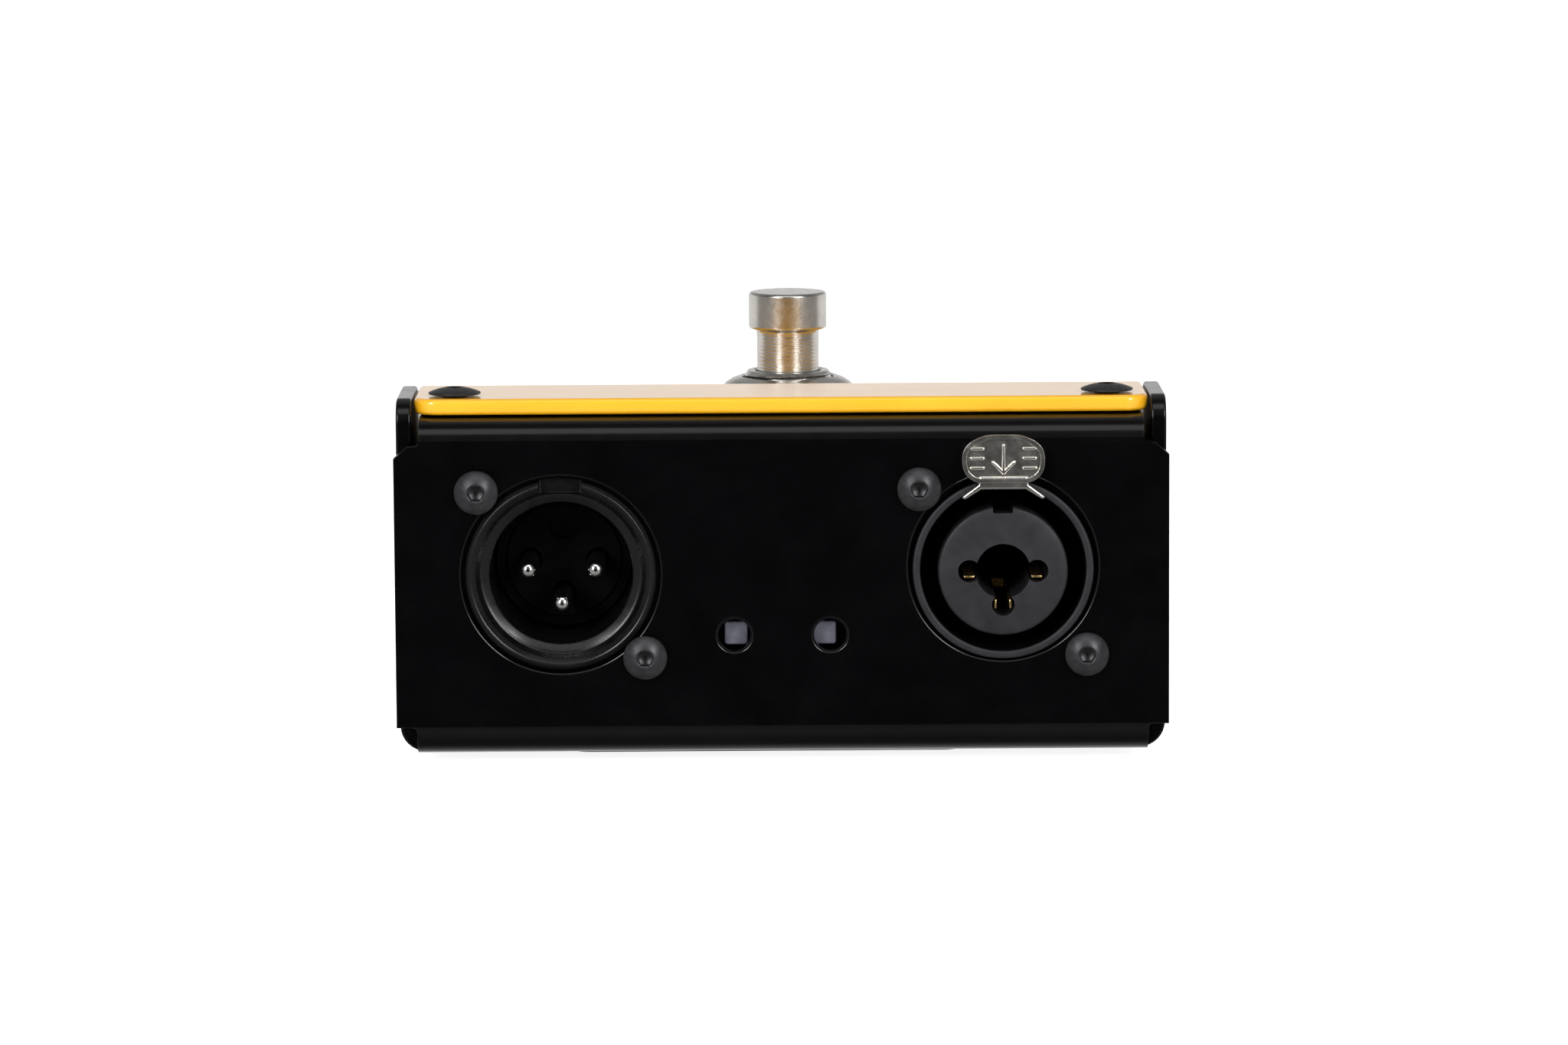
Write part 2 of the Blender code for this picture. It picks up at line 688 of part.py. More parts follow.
def make_output_pins():
    """Each pin has a round nose, a straight shank and a thin tail bent down to the board."""
    turns = [math.radians(angle) for angle in (15, 40, 65, 90)]
    nose = [(PIN_TIP + PIN_RADIUS * (1 - math.cos(turn)), math.sin(turn)) for turn in turns]
    tail_start = OUTPUT_LENGTH + 0.4
    for number, (x, height) in enumerate(pin_places(OUTPUT_X, OUTPUT_HEIGHT), 1):
        places = [(x, depth, height) for depth, _ in nose]
        scales = [scale for _, scale in nose]
        places += [(x, OUTPUT_LENGTH, height), (x, tail_start, height)]
        places.append((x, TAIL_DEPTH - TAIL_BEND, height))
        scales += [1.0, PIN_TAIL, PIN_TAIL]
        places += [(x, TAIL_DEPTH, height - TAIL_BEND), (x, TAIL_DEPTH, PARTS_ON_BOARD)]
        scales += [PIN_TAIL, PIN_TAIL]
        finish(wire(f"output_pin_{number}", places, PIN_RADIUS, scales, sides=2), SILVER)


def make_input():
    ring_centre = (INPUT_X, INPUT_HEIGHT + RING_RISE)
    profile = [
        (RING_OUTER - 0.3, 0),
        (RING_OUTER, 0.3),
        (RING_OUTER, RING_FLOOR + HOUSING_BACK),
        (SLEEVE_OUTER, RING_FLOOR + HOUSING_BACK),
        (SLEEVE_OUTER, INPUT_LENGTH),
        (CABLE_HOLE, INPUT_LENGTH),
        (CABLE_HOLE, INPUT_LENGTH - HOUSING_BACK),
        (SLEEVE_BORE, INPUT_LENGTH - HOUSING_BACK),
        (SLEEVE_BORE, RING_FLOOR),
        (RING_INNER, RING_FLOOR),
        (RING_INNER, 0.3),
        (RING_INNER + 0.3, 0),
    ]
    housing = turned("input_housing", "XZ", ring_centre, profile, steps=40)
    low = (INPUT_X - LATCH_GAP_HALF, -PAST, INPUT_HEIGHT + RING_INNER - 1.2)
    high = (INPUT_X + LATCH_GAP_HALF, LATCH_GAP_DEPTH, INPUT_HEIGHT + RING_OUTER + PAST)
    flange = connector_flange(INPUT_X, INPUT_HEIGHT, RING_INNER + 0.5)
    finish(cut(join(housing, flange), block("latch_gap", low, high)), DARK_PLASTIC)
    make_input_insert()
    make_input_contacts()
    make_latch()
    make_panel_screws("input", INPUT_X, INPUT_HEIGHT)


def make_input_insert():
    centre = (INPUT_X, INPUT_HEIGHT)
    edge = SOCKET_RADIUS - 0.35
    disc = turned(
        "input_insert", "XZ", centre,
        [(0, 0), (edge, 0), (SOCKET_RADIUS, 0.35), (SOCKET_RADIUS, SOCKET_LENGTH), (0, SOCKET_LENGTH)],
        steps=36,
    )
    ends = (-PAST, SOCKET_LENGTH + PAST)
    holes = [rod("jack_bore", "XZ", centre, JACK_RADIUS, *ends, 28)]
    for place in pin_places(*centre):
        holes.append(rod("lobe", "XZ", place, LOBE_RADIUS, *ends, 14))
    low = (INPUT_X - KEY_HALF, -PAST, INPUT_HEIGHT + SOCKET_RADIUS - KEY_DROP)
    high = (INPUT_X + KEY_HALF, RING_FLOOR - PAST, INPUT_HEIGHT + SOCKET_RADIUS + PAST)
    holes.append(block("key", low, high))
    finish(cut(disc, *holes), DARK_PLASTIC)


def make_input_contacts():
    """Brass strips in the side lobes, a fork in the lower one, and the jack's two springs."""
    *sides, (x, height) = pin_places(INPUT_X, INPUT_HEIGHT)
    for number, (side_x, level) in enumerate(sides, 1):
        top = level - STRIP_DROP
        outline = rectangle((CONTACT_FRONT, CONTACT_BACK), (top - STRIP, top))
        node = f"input_contact_{number}"
        finish(slab(node, "YZ", [outline], side_x - STRIP_HALF, side_x + STRIP_HALF), BRASS)
    inner = FORK_HALF - STRIP
    fork = [
        (x - FORK_HALF, CONTACT_FRONT), (x - inner, CONTACT_FRONT), (x - inner, CONTACT_BACK - 1),
        (x + inner, CONTACT_BACK - 1), (x + inner, CONTACT_FRONT), (x + FORK_HALF, CONTACT_FRONT),
        (x + FORK_HALF, CONTACT_BACK), (x - FORK_HALF, CONTACT_BACK),
    ]
    finish(slab("input_contact_3", "XY", [fork], height - 0.6, height + 0.5), BRASS)
    start = INPUT_LENGTH - HOUSING_BACK - GAP
    middle = INPUT_HEIGHT + RING_RISE
    for name, way in (("jack_tip_spring", 1), ("jack_ground_spring", -1)):
        path = [
            (start, middle + way * 6.6), (start - 2.0, middle + way * 6.6),
            (start - 4.0, middle + way * 3.2), (start - 6.0, middle + way * 5.0),
            (start - 9.5, middle + way * 6.4),
        ]
        outline = folded_sheet(path, STRIP, (0.3, 0.3, 0.3))
        sides = (INPUT_X - JACK_SPRING_HALF, INPUT_X + JACK_SPRING_HALF)
        finish(slab(name, "YZ", [outline], *sides), BRASS)


def latch_tab_outline():
    """Front view of the push tab: wide and round, with a low crown."""
    low = INPUT_HEIGHT + LATCH_LOW
    top = INPUT_HEIGHT + LATCH_TOP
    half = LATCH_HALF
    corners = [
        (INPUT_X - half, low), (INPUT_X + half, low), (INPUT_X + half, top - 1.5),
        (INPUT_X + 2.4, top), (INPUT_X - 2.4, top), (INPUT_X - half, top - 1.5),
    ]
    return fillet(corners, (2.4, 2.4, 1.8, 5.0, 5.0, 1.8), closed=True)


def make_latch():
    """The push tab with its neck, two feet that follow the ring, and its short hook."""
    tab = slab("input_latch", "XZ", [latch_tab_outline()], LATCH_FRONT, LATCH_FRONT + LATCH_THICK)
    arms = [
        (-5.2, 9.45), (-4.8, 9.05), (-2.7, 10.35), (2.7, 10.35), (4.8, 9.05), (5.2, 9.45),
        (3.1, 10.95), (3.0, 12.0), (-3.0, 12.0), (-3.1, 10.95),
    ]
    outline = [(INPUT_X + x, INPUT_HEIGHT + height) for x, height in arms]
    foot = slab("foot", "XZ", [outline], LATCH_FRONT + 0.1, -0.5)
    low = (INPUT_X - 2.2, -0.8, INPUT_HEIGHT + 10.45)
    hook = block("hook", low, (INPUT_X + 2.2, 1.5, INPUT_HEIGHT + 11.2))
    latch = join(tab, foot, hook)
    move_origin(latch, LATCH_PIVOT)
    finish(latch, NICKEL)
    heights = (INPUT_HEIGHT + 10.4, INPUT_HEIGHT + RING_OUTER + PAST - GAP)
    leaf = [rectangle((INPUT_X - 1.2, INPUT_X + 1.2), heights)]
    finish(slab("latch_spring", "XZ", leaf, LATCH_GAP_DEPTH - 0.6, LATCH_GAP_DEPTH - GAP), PRESSED_STEEL)


# ---------------------------------------------------------------- lamps and board


def make_lamps():
    for name, side, shift in zip(("lamp_left", "lamp_right"), (-1, 1), LAMP_OFFSETS):
        x = side * LAMP_X + shift
        heights = (LAMP_HEIGHT - LAMP_HALF, LAMP_HEIGHT + LAMP_HALF)
        outline = rectangle((x - LAMP_HALF, x + LAMP_HALF), heights, 0.4)
        finish(soften(slab(name, "XZ", [outline], SHEET + GAP, 6.0), 0.25, steps=1), MILKY)
    holder = block("lamp_holder", (-9.5, 6.0 + GAP, PARTS_ON_BOARD), (9.0, 10.0, 18.0))
    finish(soften(holder, 0.5, steps=1), DARK_PLASTIC)


def standoff_places():
    return [(x, depth) for depth in STANDOFF_DEPTHS for x in (-STANDOFF_X, STANDOFF_X)]


def make_board():
    hole = BOARD_SCREW_SHANK + SCREW_CLEARANCE
    outlines = [rectangle((-BOARD_HALF, BOARD_HALF), BOARD_DEPTHS, 2.0)]
    outlines += [circle(x, depth, hole, 12) for x, depth in standoff_places()]
    finish(slab("circuit_board", "XY", outlines, BOARD_LOW, BOARD_TOP), BOARD_GREEN)
    for number, (x, depth) in enumerate(standoff_places(), 1):
        shapes = [circle(x, depth, STANDOFF_RADIUS, 6), circle(x, depth, hole, 12)]
        standoff = slab(f"board_standoff_{number}", "XY", shapes, SHEET + GAP, BOARD_LOW - GAP)
        finish(standoff, BRASS)
        length = BOARD_TOP - SHEET - 1.0
        make_screw(
            f"board_screw_{number}", "XY", (x, depth), BOARD_TOP,
            BOARD_SCREW_HEAD, BOARD_SCREW_DOME, BOARD_SCREW_SHANK, length, SILVER,
        )


def make_transformer():
    x, depth = -20.0, 52.0
    half, height, thick = 12.0, 20.0, 6.0
    low = PARTS_ON_BOARD
    outlines = [rectangle((x - half, x + half), (low, low + height))]
    for side in (-1, 1):
        window = sorted((x + side * 3.6, x + side * 9.0))
        outlines.append(rectangle(window, (low + 4, low + height - 4)))
    finish(slab("transformer_core", "XZ", outlines, depth - thick, depth + thick), CORE_STEEL)
    outer = rectangle((x - 8.7, x + 8.7), (depth - thick - 4.5, depth + thick + 4.5), 3.0)
    inner = rectangle((x - 3.9, x + 3.9), (depth - thick - GAP, depth + thick + GAP))
    bobbin = slab("transformer_bobbin", "XY", [outer, inner], low + 4.3, low + height - 4.3)
    finish(bobbin, COPPER)


def make_small_components():
    low = PARTS_ON_BOARD
    for number, x in enumerate((8.0, 17.0), 1):
        profile = [
            (0, low + 11), (2.8, low + 11), (3.1, low + 10.7), (3.1, low + 1.8),
            (2.85, low + 1.5), (3.1, low + 1.2), (3.1, low), (0, low),
        ]
        finish(turned(f"capacitor_{number}", "XY", (x, 46.0), profile, steps=20), CAPACITOR_BLUE)
    for number, x in enumerate((14.0, 28.0), 1):
        body = block(f"amplifier_chip_{number}", (x - 4.8, 55.0, low), (x + 4.8, 61.4, low + 3.4))
        dimple = rod("dimple", "XY", (x - 4.8, 58.2), 0.9, low + 2.6, low + 3.4 + PAST, 12)
        finish(cut(soften(body, 0.3, steps=1), dimple), DARK_PLASTIC)
    header = block("wire_header", (SWITCH_X - 5.0, 62.0, low), (SWITCH_X + 5.0, 67.5, low + 6.0))
    slots = []
    for shift in (-3.0, 0.0, 3.0):
        x = SWITCH_X + shift
        slots.append(block("slot", (x - 1.0, 63.7, low + 2.0), (x + 1.0, 65.8, low + 7.0)))
    finish(cut(header, *slots), MILKY)


# ---------------------------------------------------------------- footswitch


def make_switch_case():
    centre = (SWITCH_X, SWITCH_DEPTH)
    low = (SWITCH_X - SWITCH_HALF, SWITCH_DEPTH - SWITCH_HALF, SWITCH_LOW)
    high = (SWITCH_X + SWITCH_HALF, SWITCH_DEPTH + SWITCH_HALF, SWITCH_TOP)
    body = soften(block("switch_body", low, high), 0.6, steps=1)
    cavity = rod("cavity", "XY", centre, CAVITY_RADIUS, CAVITY_LOW, SWITCH_TOP + PAST, 24)
    finish(cut(body, cavity), BLACK_STEEL)
    seat = SWITCH_TOP + GAP
    shoulder = DECK_TOP - PLATE_THICK - GAP
    chamfer = 0.5
    profile = [
        (BUSHING_BORE, BUSHING_TOP), (BUSHING_RADIUS - chamfer, BUSHING_TOP),
        (BUSHING_RADIUS, BUSHING_TOP - chamfer), (BUSHING_RADIUS, shoulder),
        (BUSHING_FLANGE, shoulder), (BUSHING_FLANGE, seat), (BUSHING_BORE, seat),
    ]
    finish(turned("switch_bushing", "XY", centre, profile), NICKEL)
    washer_low = DECK_TOP + GAP
    washer_top = washer_low + WASHER_THICK
    washer = [
        (THREAD_CLEARANCE, washer_top), (WASHER_RADIUS, washer_top),
        (WASHER_RADIUS, washer_low), (THREAD_CLEARANCE, washer_low),
    ]
    finish(turned("switch_washer", "XY", centre, washer), NICKEL)
    nut_low = washer_top + GAP
    nut = [
        (THREAD_CLEARANCE, SWITCH_NUT_TOP), (6.6, SWITCH_NUT_TOP + 0.05), (7.6, SWITCH_NUT_TOP - 0.3),
        (8.4, SWITCH_NUT_TOP - 0.8), (SWITCH_NUT, SWITCH_NUT_TOP - 1.35), (SWITCH_NUT, nut_low),
        (THREAD_CLEARANCE, nut_low),
    ]
    finish(turned("switch_nut", "XY", centre, nut), NICKEL)
    for number, shift in enumerate((-5.0, 0.0, 5.0), 1):
        x = SWITCH_X + shift
        lug = slab(
            f"switch_terminal_{number}", "XZ",
            [rectangle((x - 1.2, x + 1.2), (6.5, SWITCH_LOW - GAP), 0.6), circle(x, 8.3, 0.6, 8)],
            SWITCH_DEPTH - 0.4, SWITCH_DEPTH + 0.4,
        )
        finish(lug, SILVER)


def make_plunger():
    """Cap, stem, collar and spring spigot turned from one bar. It slides along its own axis."""
    profile = [
        (0, CAP_TOP), (CAP_RADIUS - 0.5, CAP_TOP), (CAP_RADIUS - 0.15, CAP_TOP - 0.15),
        (CAP_RADIUS, CAP_TOP - 0.5), (CAP_RADIUS, CAP_LOW + 0.3), (CAP_RADIUS - 0.3, CAP_LOW),
        (STEM_RADIUS, CAP_LOW), (STEM_RADIUS, COLLAR_TOP), (COLLAR_RADIUS, COLLAR_TOP),
        (COLLAR_RADIUS, STEM_LOW), (SPIGOT_RADIUS, STEM_LOW), (SPIGOT_RADIUS, SPIGOT_LOW),
        (0, SPIGOT_LOW),
    ]
    plunger = turned("switch_plunger", "XY", (SWITCH_X, SWITCH_DEPTH), profile)
    move_origin(plunger, (SWITCH_X, SWITCH_DEPTH, BUSHING_TOP))
    finish(plunger, NICKEL)


def make_switch_spring():
    low, high = SPRING_ENDS
    per_turn = 12
    count = SPRING_TURNS * per_turn
    places = []
    for i in range(count + 1):
        angle = 2 * math.pi * i / per_turn
        x = SWITCH_X + SPRING_RADIUS * math.cos(angle)
        depth = SWITCH_DEPTH + SPRING_RADIUS * math.sin(angle)
        places.append((x, depth, low + (high - low) * i / count))
    finish(wire("switch_spring", places, SPRING_WIRE, sides=1), PRESSED_STEEL)


def make_switch_wires():
    """Three leads from the header on the board, over its edge and under the switch."""
    top = PARTS_ON_BOARD + 6.0
    for number, shift in enumerate((-1.0, 0.0, 1.0), 1):
        start = SWITCH_X + 3.0 * shift
        end = SWITCH_X + 5.0 * shift
        places = [
            (start, 64.7, top - 3.0), (start, 64.7, top + 1.5), (start, 67.0, top + 3.8),
            (start, 69.8, top + 2.2), (start, 71.0, top - 3.0), (start, 72.0, 8.5),
            (end, 75.0, 4.6), (end, 79.5, 3.9), (end, 81.7, 4.5), (end, 82.0, 6.2),
        ]
        finish(wire(f"switch_wire_{number}", smooth_path(places, 3), 0.6, sides=1), WIRE_RED)


def main():
    for thing in list(bpy.data.objects):
        bpy.data.objects.remove(thing)
    collection = bpy.data.collections.new("direct_injection_box")
    bpy.context.scene.collection.children.link(collection)
    make_chassis()
    make_top_plate()
    make_bottom_pad()
    make_plate_fasteners()
    make_output()
    make_input()
    make_lamps()
    make_board()
    make_transformer()
    make_small_components()
    make_switch_case()
    make_plunger()
    make_switch_spring()
    make_switch_wires()


main()
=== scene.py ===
import json
import math

import bmesh
import bpy
from mathutils import Euler, Matrix, Vector


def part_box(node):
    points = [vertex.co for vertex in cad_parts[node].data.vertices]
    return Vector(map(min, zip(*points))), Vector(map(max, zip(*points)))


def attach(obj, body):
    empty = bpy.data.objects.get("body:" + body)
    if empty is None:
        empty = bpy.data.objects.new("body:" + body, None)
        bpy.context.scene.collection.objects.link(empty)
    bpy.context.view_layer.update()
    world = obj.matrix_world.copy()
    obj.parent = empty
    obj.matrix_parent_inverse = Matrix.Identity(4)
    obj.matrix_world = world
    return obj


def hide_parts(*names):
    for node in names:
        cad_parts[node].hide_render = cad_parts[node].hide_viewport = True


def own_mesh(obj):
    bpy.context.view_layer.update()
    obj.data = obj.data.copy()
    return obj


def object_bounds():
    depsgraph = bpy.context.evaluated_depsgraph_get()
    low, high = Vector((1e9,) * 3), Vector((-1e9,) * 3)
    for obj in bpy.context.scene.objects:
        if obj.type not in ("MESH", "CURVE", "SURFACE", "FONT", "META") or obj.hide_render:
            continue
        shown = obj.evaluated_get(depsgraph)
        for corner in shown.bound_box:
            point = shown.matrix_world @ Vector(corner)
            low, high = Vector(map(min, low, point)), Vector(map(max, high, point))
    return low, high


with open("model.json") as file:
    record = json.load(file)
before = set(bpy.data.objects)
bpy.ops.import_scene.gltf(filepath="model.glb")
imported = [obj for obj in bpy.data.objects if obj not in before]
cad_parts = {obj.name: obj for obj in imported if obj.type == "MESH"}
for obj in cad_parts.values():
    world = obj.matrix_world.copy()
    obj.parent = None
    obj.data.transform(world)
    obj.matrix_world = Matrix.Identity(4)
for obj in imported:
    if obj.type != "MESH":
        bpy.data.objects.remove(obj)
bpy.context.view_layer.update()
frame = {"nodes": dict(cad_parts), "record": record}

MM = 0.001
PAST = 1.0
SKIN = 0.004
MERGE = 1e-6
ARC_STEPS = 8
TURN_STEPS = 128

# Places on the box are (x, depth, height) in millimetres: depth is measured back from the
# connector panel's face and height up from the underside of the case's floor.
CASE_LOW, CASE_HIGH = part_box("chassis")
ORIGIN = Vector((0, CASE_LOW.y, CASE_LOW.z))


def at(x, depth, height):
    """World position of a place on the box."""
    return ORIGIN + Vector((x, depth, height)) * MM


def span(node):
    """Lowest and highest corner of a CAD piece as places on the box."""
    low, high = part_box(node)
    return (low - ORIGIN) / MM, (high - ORIGIN) / MM


def middle(node):
    low, high = span(node)
    return (low + high) / 2


# Case
CASE_WIDTH = (CASE_HIGH.x - CASE_LOW.x) / MM
CASE_DEPTH = (CASE_HIGH.y - CASE_LOW.y) / MM
PLATE_TOP = (CASE_HIGH.z - CASE_LOW.z) / MM
GAP = 0.25
DECK_TOP = span("switch_washer")[0].z - GAP
SHEET = 1.9
PANEL_BEND = 1.9
SIDE_BEND = 1.3
TOP_BEND = 1.3
WALL_HALF = 47.4
WALL_START = 2.2
WALL_CORNER = 3.0
RELIEF_WIDTH = 2.5
RELIEF_HEIGHT = 3.6
RELIEF_DEPTH = 4.0
RELIEF_CORNER = 0.6
FLANGE_LENGTH = 17.0
FLANGE_HALF = 44.5
SHOULDER_HALF = 45.9
SHOULDER_DROP = 3.2
EDGE_DROP = 4.6
SHEET_EDGE = 0.3
HOLE_EDGE = 0.42

# Top plate
PLATE_THICK = 2.0
PLATE_LOW, PLATE_HIGH = span("top_plate")
PLATE_HALF = PLATE_HIGH.x
PLATE_INSET = PLATE_LOW.y
PLATE_CORNER = 3.0
PLATE_EDGE = 0.6
KINK_DEPTH = 19.5
RAMP_SLOPE = math.radians(40)
RAMP_END = KINK_DEPTH + (PLATE_TOP - DECK_TOP) / math.tan(RAMP_SLOPE)
FRONT_FLANGE_TOP = PLATE_TOP - PLATE_THICK - GAP
REAR_FLANGE_TOP = DECK_TOP - PLATE_THICK - GAP

# Screws
SCREW_CLEARANCE = 0.3
HEAD_RIM = 0.22
PLATE_SHANK = 1.5
PANEL_SHANK = 1.42
SOCKET_CORNER = 1.02
SOCKET_MOUTH = 1.16

# Connectors
OUTPUT = middle("output_insert")
INPUT = middle("input_insert")
OUTPUT_HOLE = 12.15
OUTPUT_RIM = 11.8
OUTPUT_BORE = 8.8
OUTPUT_LENGTH = span("output_shell")[1].y
OUTPUT_NOTCH = 2.65
NOTCH_RISE = 9.9
RECESS_RADIUS = 2.0
RECESS_DEPTH = 0.8
RECESS_RISE = 4.5
INPUT_HOLE = 11.6
INPUT_HOLE_RISE = 0.6
RING_RISE = 0.3
RING_OUTER = 11.15
RING_INNER = 10.2
RING_FLOOR = 13.0
SLEEVE_OUTER = 9.9
SLEEVE_BORE = 8.6
FLANGE_SIDE = 13.0
FLANGE_THICK = 3.0
PIN_CIRCLE = 4.18
PIN_RADIUS = 1.2
JACK_RADIUS = 3.35
LOBE_RADIUS = 1.4
DISC_CROWN = 0.5
KEY_HALF = 1.25
KEY_DROP = 0.85

# Latch
LATCH_LOW, LATCH_HIGH = span("input_latch")
LATCH_FRONT = LATCH_LOW.y
LATCH_THICK = 0.8
LATCH_HALF = 5.2
TAB_LOW = 11.2
TAB_TOP = 17.1
TAB_RIM = 0.52
TAB_SUNK = 0.3
TAB_TAPER = 0.35
MARK_HALF = 0.22
HOOK_HALF = 2.2
HOOK_LOW = 10.45
HOOK_HIGH = 11.2

# Lamps
LAMP_HOLES = (-5.9, 5.9)
LAMP_HOLE = 2.0
LAMP_HEIGHT = middle("lamp_left").z

# Footswitch
SWITCH = middle("switch_bushing")
SWITCH_HOLE = 6.2
NOTCH_HALF = 10.5
BUSHING_TOP = span("switch_bushing")[1].z
BUSHING_RADIUS = 5.9
BUSHING_BORE = 4.55
COLLAR_RADIUS = 8.0
THREAD_PITCH = 0.75
THREAD_DEPTH = 0.3
CAP_RADIUS = 5.25
CAP_TOP = span("switch_plunger")[1].z
CAP_LOW = CAP_TOP - 5.0
STEM_RADIUS = 4.2
STEM_LOW = 30.0
STOP_RADIUS = 5.0
STOP_TOP = STEM_LOW + 1.2
SPIGOT_RADIUS = 2.6
RIDGES_LOW = 35.0
RIDGES_HIGH = 43.9
RIDGE_PITCH = 0.5
RIDGE_DEPTH = 0.018
SPRING_WIRE = 0.32
SPRING_TURNS = 5
SPRING_STEPS = 32

# Camera and lights
LENS = 149.0
CAMERA_X = -2.2
CAMERA_BACK = 790
CAMERA_RISE = 89.6
PITCH, YAW, ROLL = 7.55, -0.18, -0.35
AIM = Vector((0, 0, 0.03))

AXES = {
    "XY": Matrix.Identity(4),
    "YZ": Matrix(((0, 0, 1, 0), (1, 0, 0, 0), (0, 1, 0, 0), (0, 0, 0, 1))),
    "XZ": Matrix(((1, 0, 0, 0), (0, 0, -1, 0), (0, 1, 0, 0), (0, 0, 0, 1))),
}


# ---- outlines


def fillet(points, radii, closed=False, steps=ARC_STEPS):
    """The outline with each corner rounded to its own radius."""
    rounded = []
    last = len(points) - 1
    for i, (point, radius) in enumerate(zip(points, radii)):
        if radius == 0 or (not closed and i in (0, last)):
            rounded.append(tuple(point))
            continue
        here = Vector(point)
        before = (Vector(points[i - 1]) - here).normalized()
        after = (Vector(points[(i + 1) % len(points)]) - here).normalized()
        half = before.angle(after) / 2
        centre = here + (before + after).normalized() * radius / math.sin(half)
        start = here + before * radius / math.tan(half) - centre
        end = here + after * radius / math.tan(half) - centre
        first = math.atan2(start.y, start.x)
        sweep = math.remainder(math.atan2(end.y, end.x) - first, 2 * math.pi)
        for step in range(steps + 1):
            angle = first + sweep * step / steps
            rounded.append((centre.x + radius * math.cos(angle), centre.y + radius * math.sin(angle)))
    return rounded


def eased(points, radius, closed=False, steps=4):
    """The outline with every corner rounded, by less where its sides are short."""
    radii = []
    for i, point in enumerate(points):
        here = Vector(point)
        before = Vector(points[i - 1]) - here
        after = Vector(points[(i + 1) % len(points)]) - here
        half = before.angle(after) / 2
        if half > math.radians(86):
            radii.append(0)
            continue
        room = 0.45 * min(before.length, after.length) * math.tan(half)
        radii.append(min(radius, room))
    return fillet(points, radii, closed, steps)


def folded_sheet(path, thickness, inside_radii):
    """Outline of a sheet bent along a path, with its thickness to the left of the path."""
    ways = [(Vector(b) - Vector(a)).normalized() for a, b in zip(path, path[1:])]
    sides = [Vector((-way.y, way.x)) for way in ways]
    offset = [Vector(path[0]) + sides[0] * thickness]
    near_radii = [0]
    far_radii = [0]
    for i, point in enumerate(path[1:-1]):
        before, after = sides[i], sides[i + 1]
        offset.append(Vector(point) + (before + after) * thickness / (1 + before.dot(after)))
        left_turn = ways[i].cross(ways[i + 1]) > 0
        near_radii.append(inside_radii[i] + (thickness if left_turn else 0))
        far_radii.append(inside_radii[i] + (0 if left_turn else thickness))
    offset.append(Vector(path[-1]) + sides[-1] * thickness)
    near = fillet(path, near_radii + [0])
    far = fillet([tuple(point) for point in offset], far_radii + [0])
    return near + far[::-1]


def rectangle(x_range, y_range, radius=0.0, steps=ARC_STEPS):
    (left, right), (low, high) = x_range, y_range
    corners = [(left, low), (right, low), (right, high), (left, high)]
    return fillet(corners, [radius] * 4, closed=True, steps=steps)


def circle(x, y, radius, steps=64):
    turns = [2 * math.pi * i / steps for i in range(steps)]
    return [(x + radius * math.cos(turn), y + radius * math.sin(turn)) for turn in turns]


# ---- solids


def new_object(name, data, matrix):
    thing = bpy.data.objects.new(name, data)
    thing.matrix_world = matrix
    bpy.context.scene.collection.objects.link(thing)
    return thing


def evaluated_mesh(thing):
    bpy.context.view_layer.update()
    graph = bpy.context.evaluated_depsgraph_get()
    return bpy.data.meshes.new_from_object(thing.evaluated_get(graph))


def apply_modifiers(thing):
    mesh = evaluated_mesh(thing)
    thing.modifiers.clear()
    thing.data = mesh


def welded(name, curve_object):
    """A curve object turned into a mesh object with its loose caps joined on."""
    mesh = evaluated_mesh(curve_object)
    shape = bmesh.new()
    shape.from_mesh(mesh)
    bmesh.ops.remove_doubles(shape, verts=shape.verts, dist=MERGE)
    bmesh.ops.recalc_face_normals(shape, faces=shape.faces)
    bmesh.ops.dissolve_limit(shape, angle_limit=math.radians(0.5), verts=shape.verts, edges=shape.edges)
    shape.to_mesh(mesh)
    shape.free()
    matrix = curve_object.matrix_world.copy()
    bpy.data.objects.remove(curve_object)
    return new_object(name, mesh, matrix)


def mesh_of(name, shape):
    mesh = bpy.data.meshes.new(name)
    shape.to_mesh(mesh)
    shape.free()
    return mesh


def slab(name, plane, outlines, low, high):
    """A flat outline, with any holes in it, made solid from low to high across its plane."""
    curve = bpy.data.curves.new(name, "CURVE")
    curve.dimensions = "2D"
    curve.fill_mode = "BOTH"
    curve.extrude = (high - low) / 2 * MM
    for outline in outlines:
        spline = curve.splines.new("POLY")
        spline.points.add(len(outline) - 1)
        spline.use_cyclic_u = True
        for point, (u, v) in zip(spline.points, outline):
            point.co = (u * MM, v * MM, 0, 1)
    level = (low + high) / 2
    centre = {"XY": (0, 0, level), "YZ": (level, 0, 0), "XZ": (0, level, 0)}[plane]
    return welded(name, new_object(name, curve, Matrix.Translation(at(*centre)) @ AXES[plane]))


def block(name, low, high):
    """A box between two opposite corners."""
    shape = bmesh.new()
    size = (Vector(high) - Vector(low)) * MM
    bmesh.ops.create_cube(shape, size=1, matrix=Matrix.Diagonal(size).to_4x4())
    centre = (Vector(low) + Vector(high)) / 2
    return new_object(name, mesh_of(name, shape), Matrix.Translation(at(*centre)))


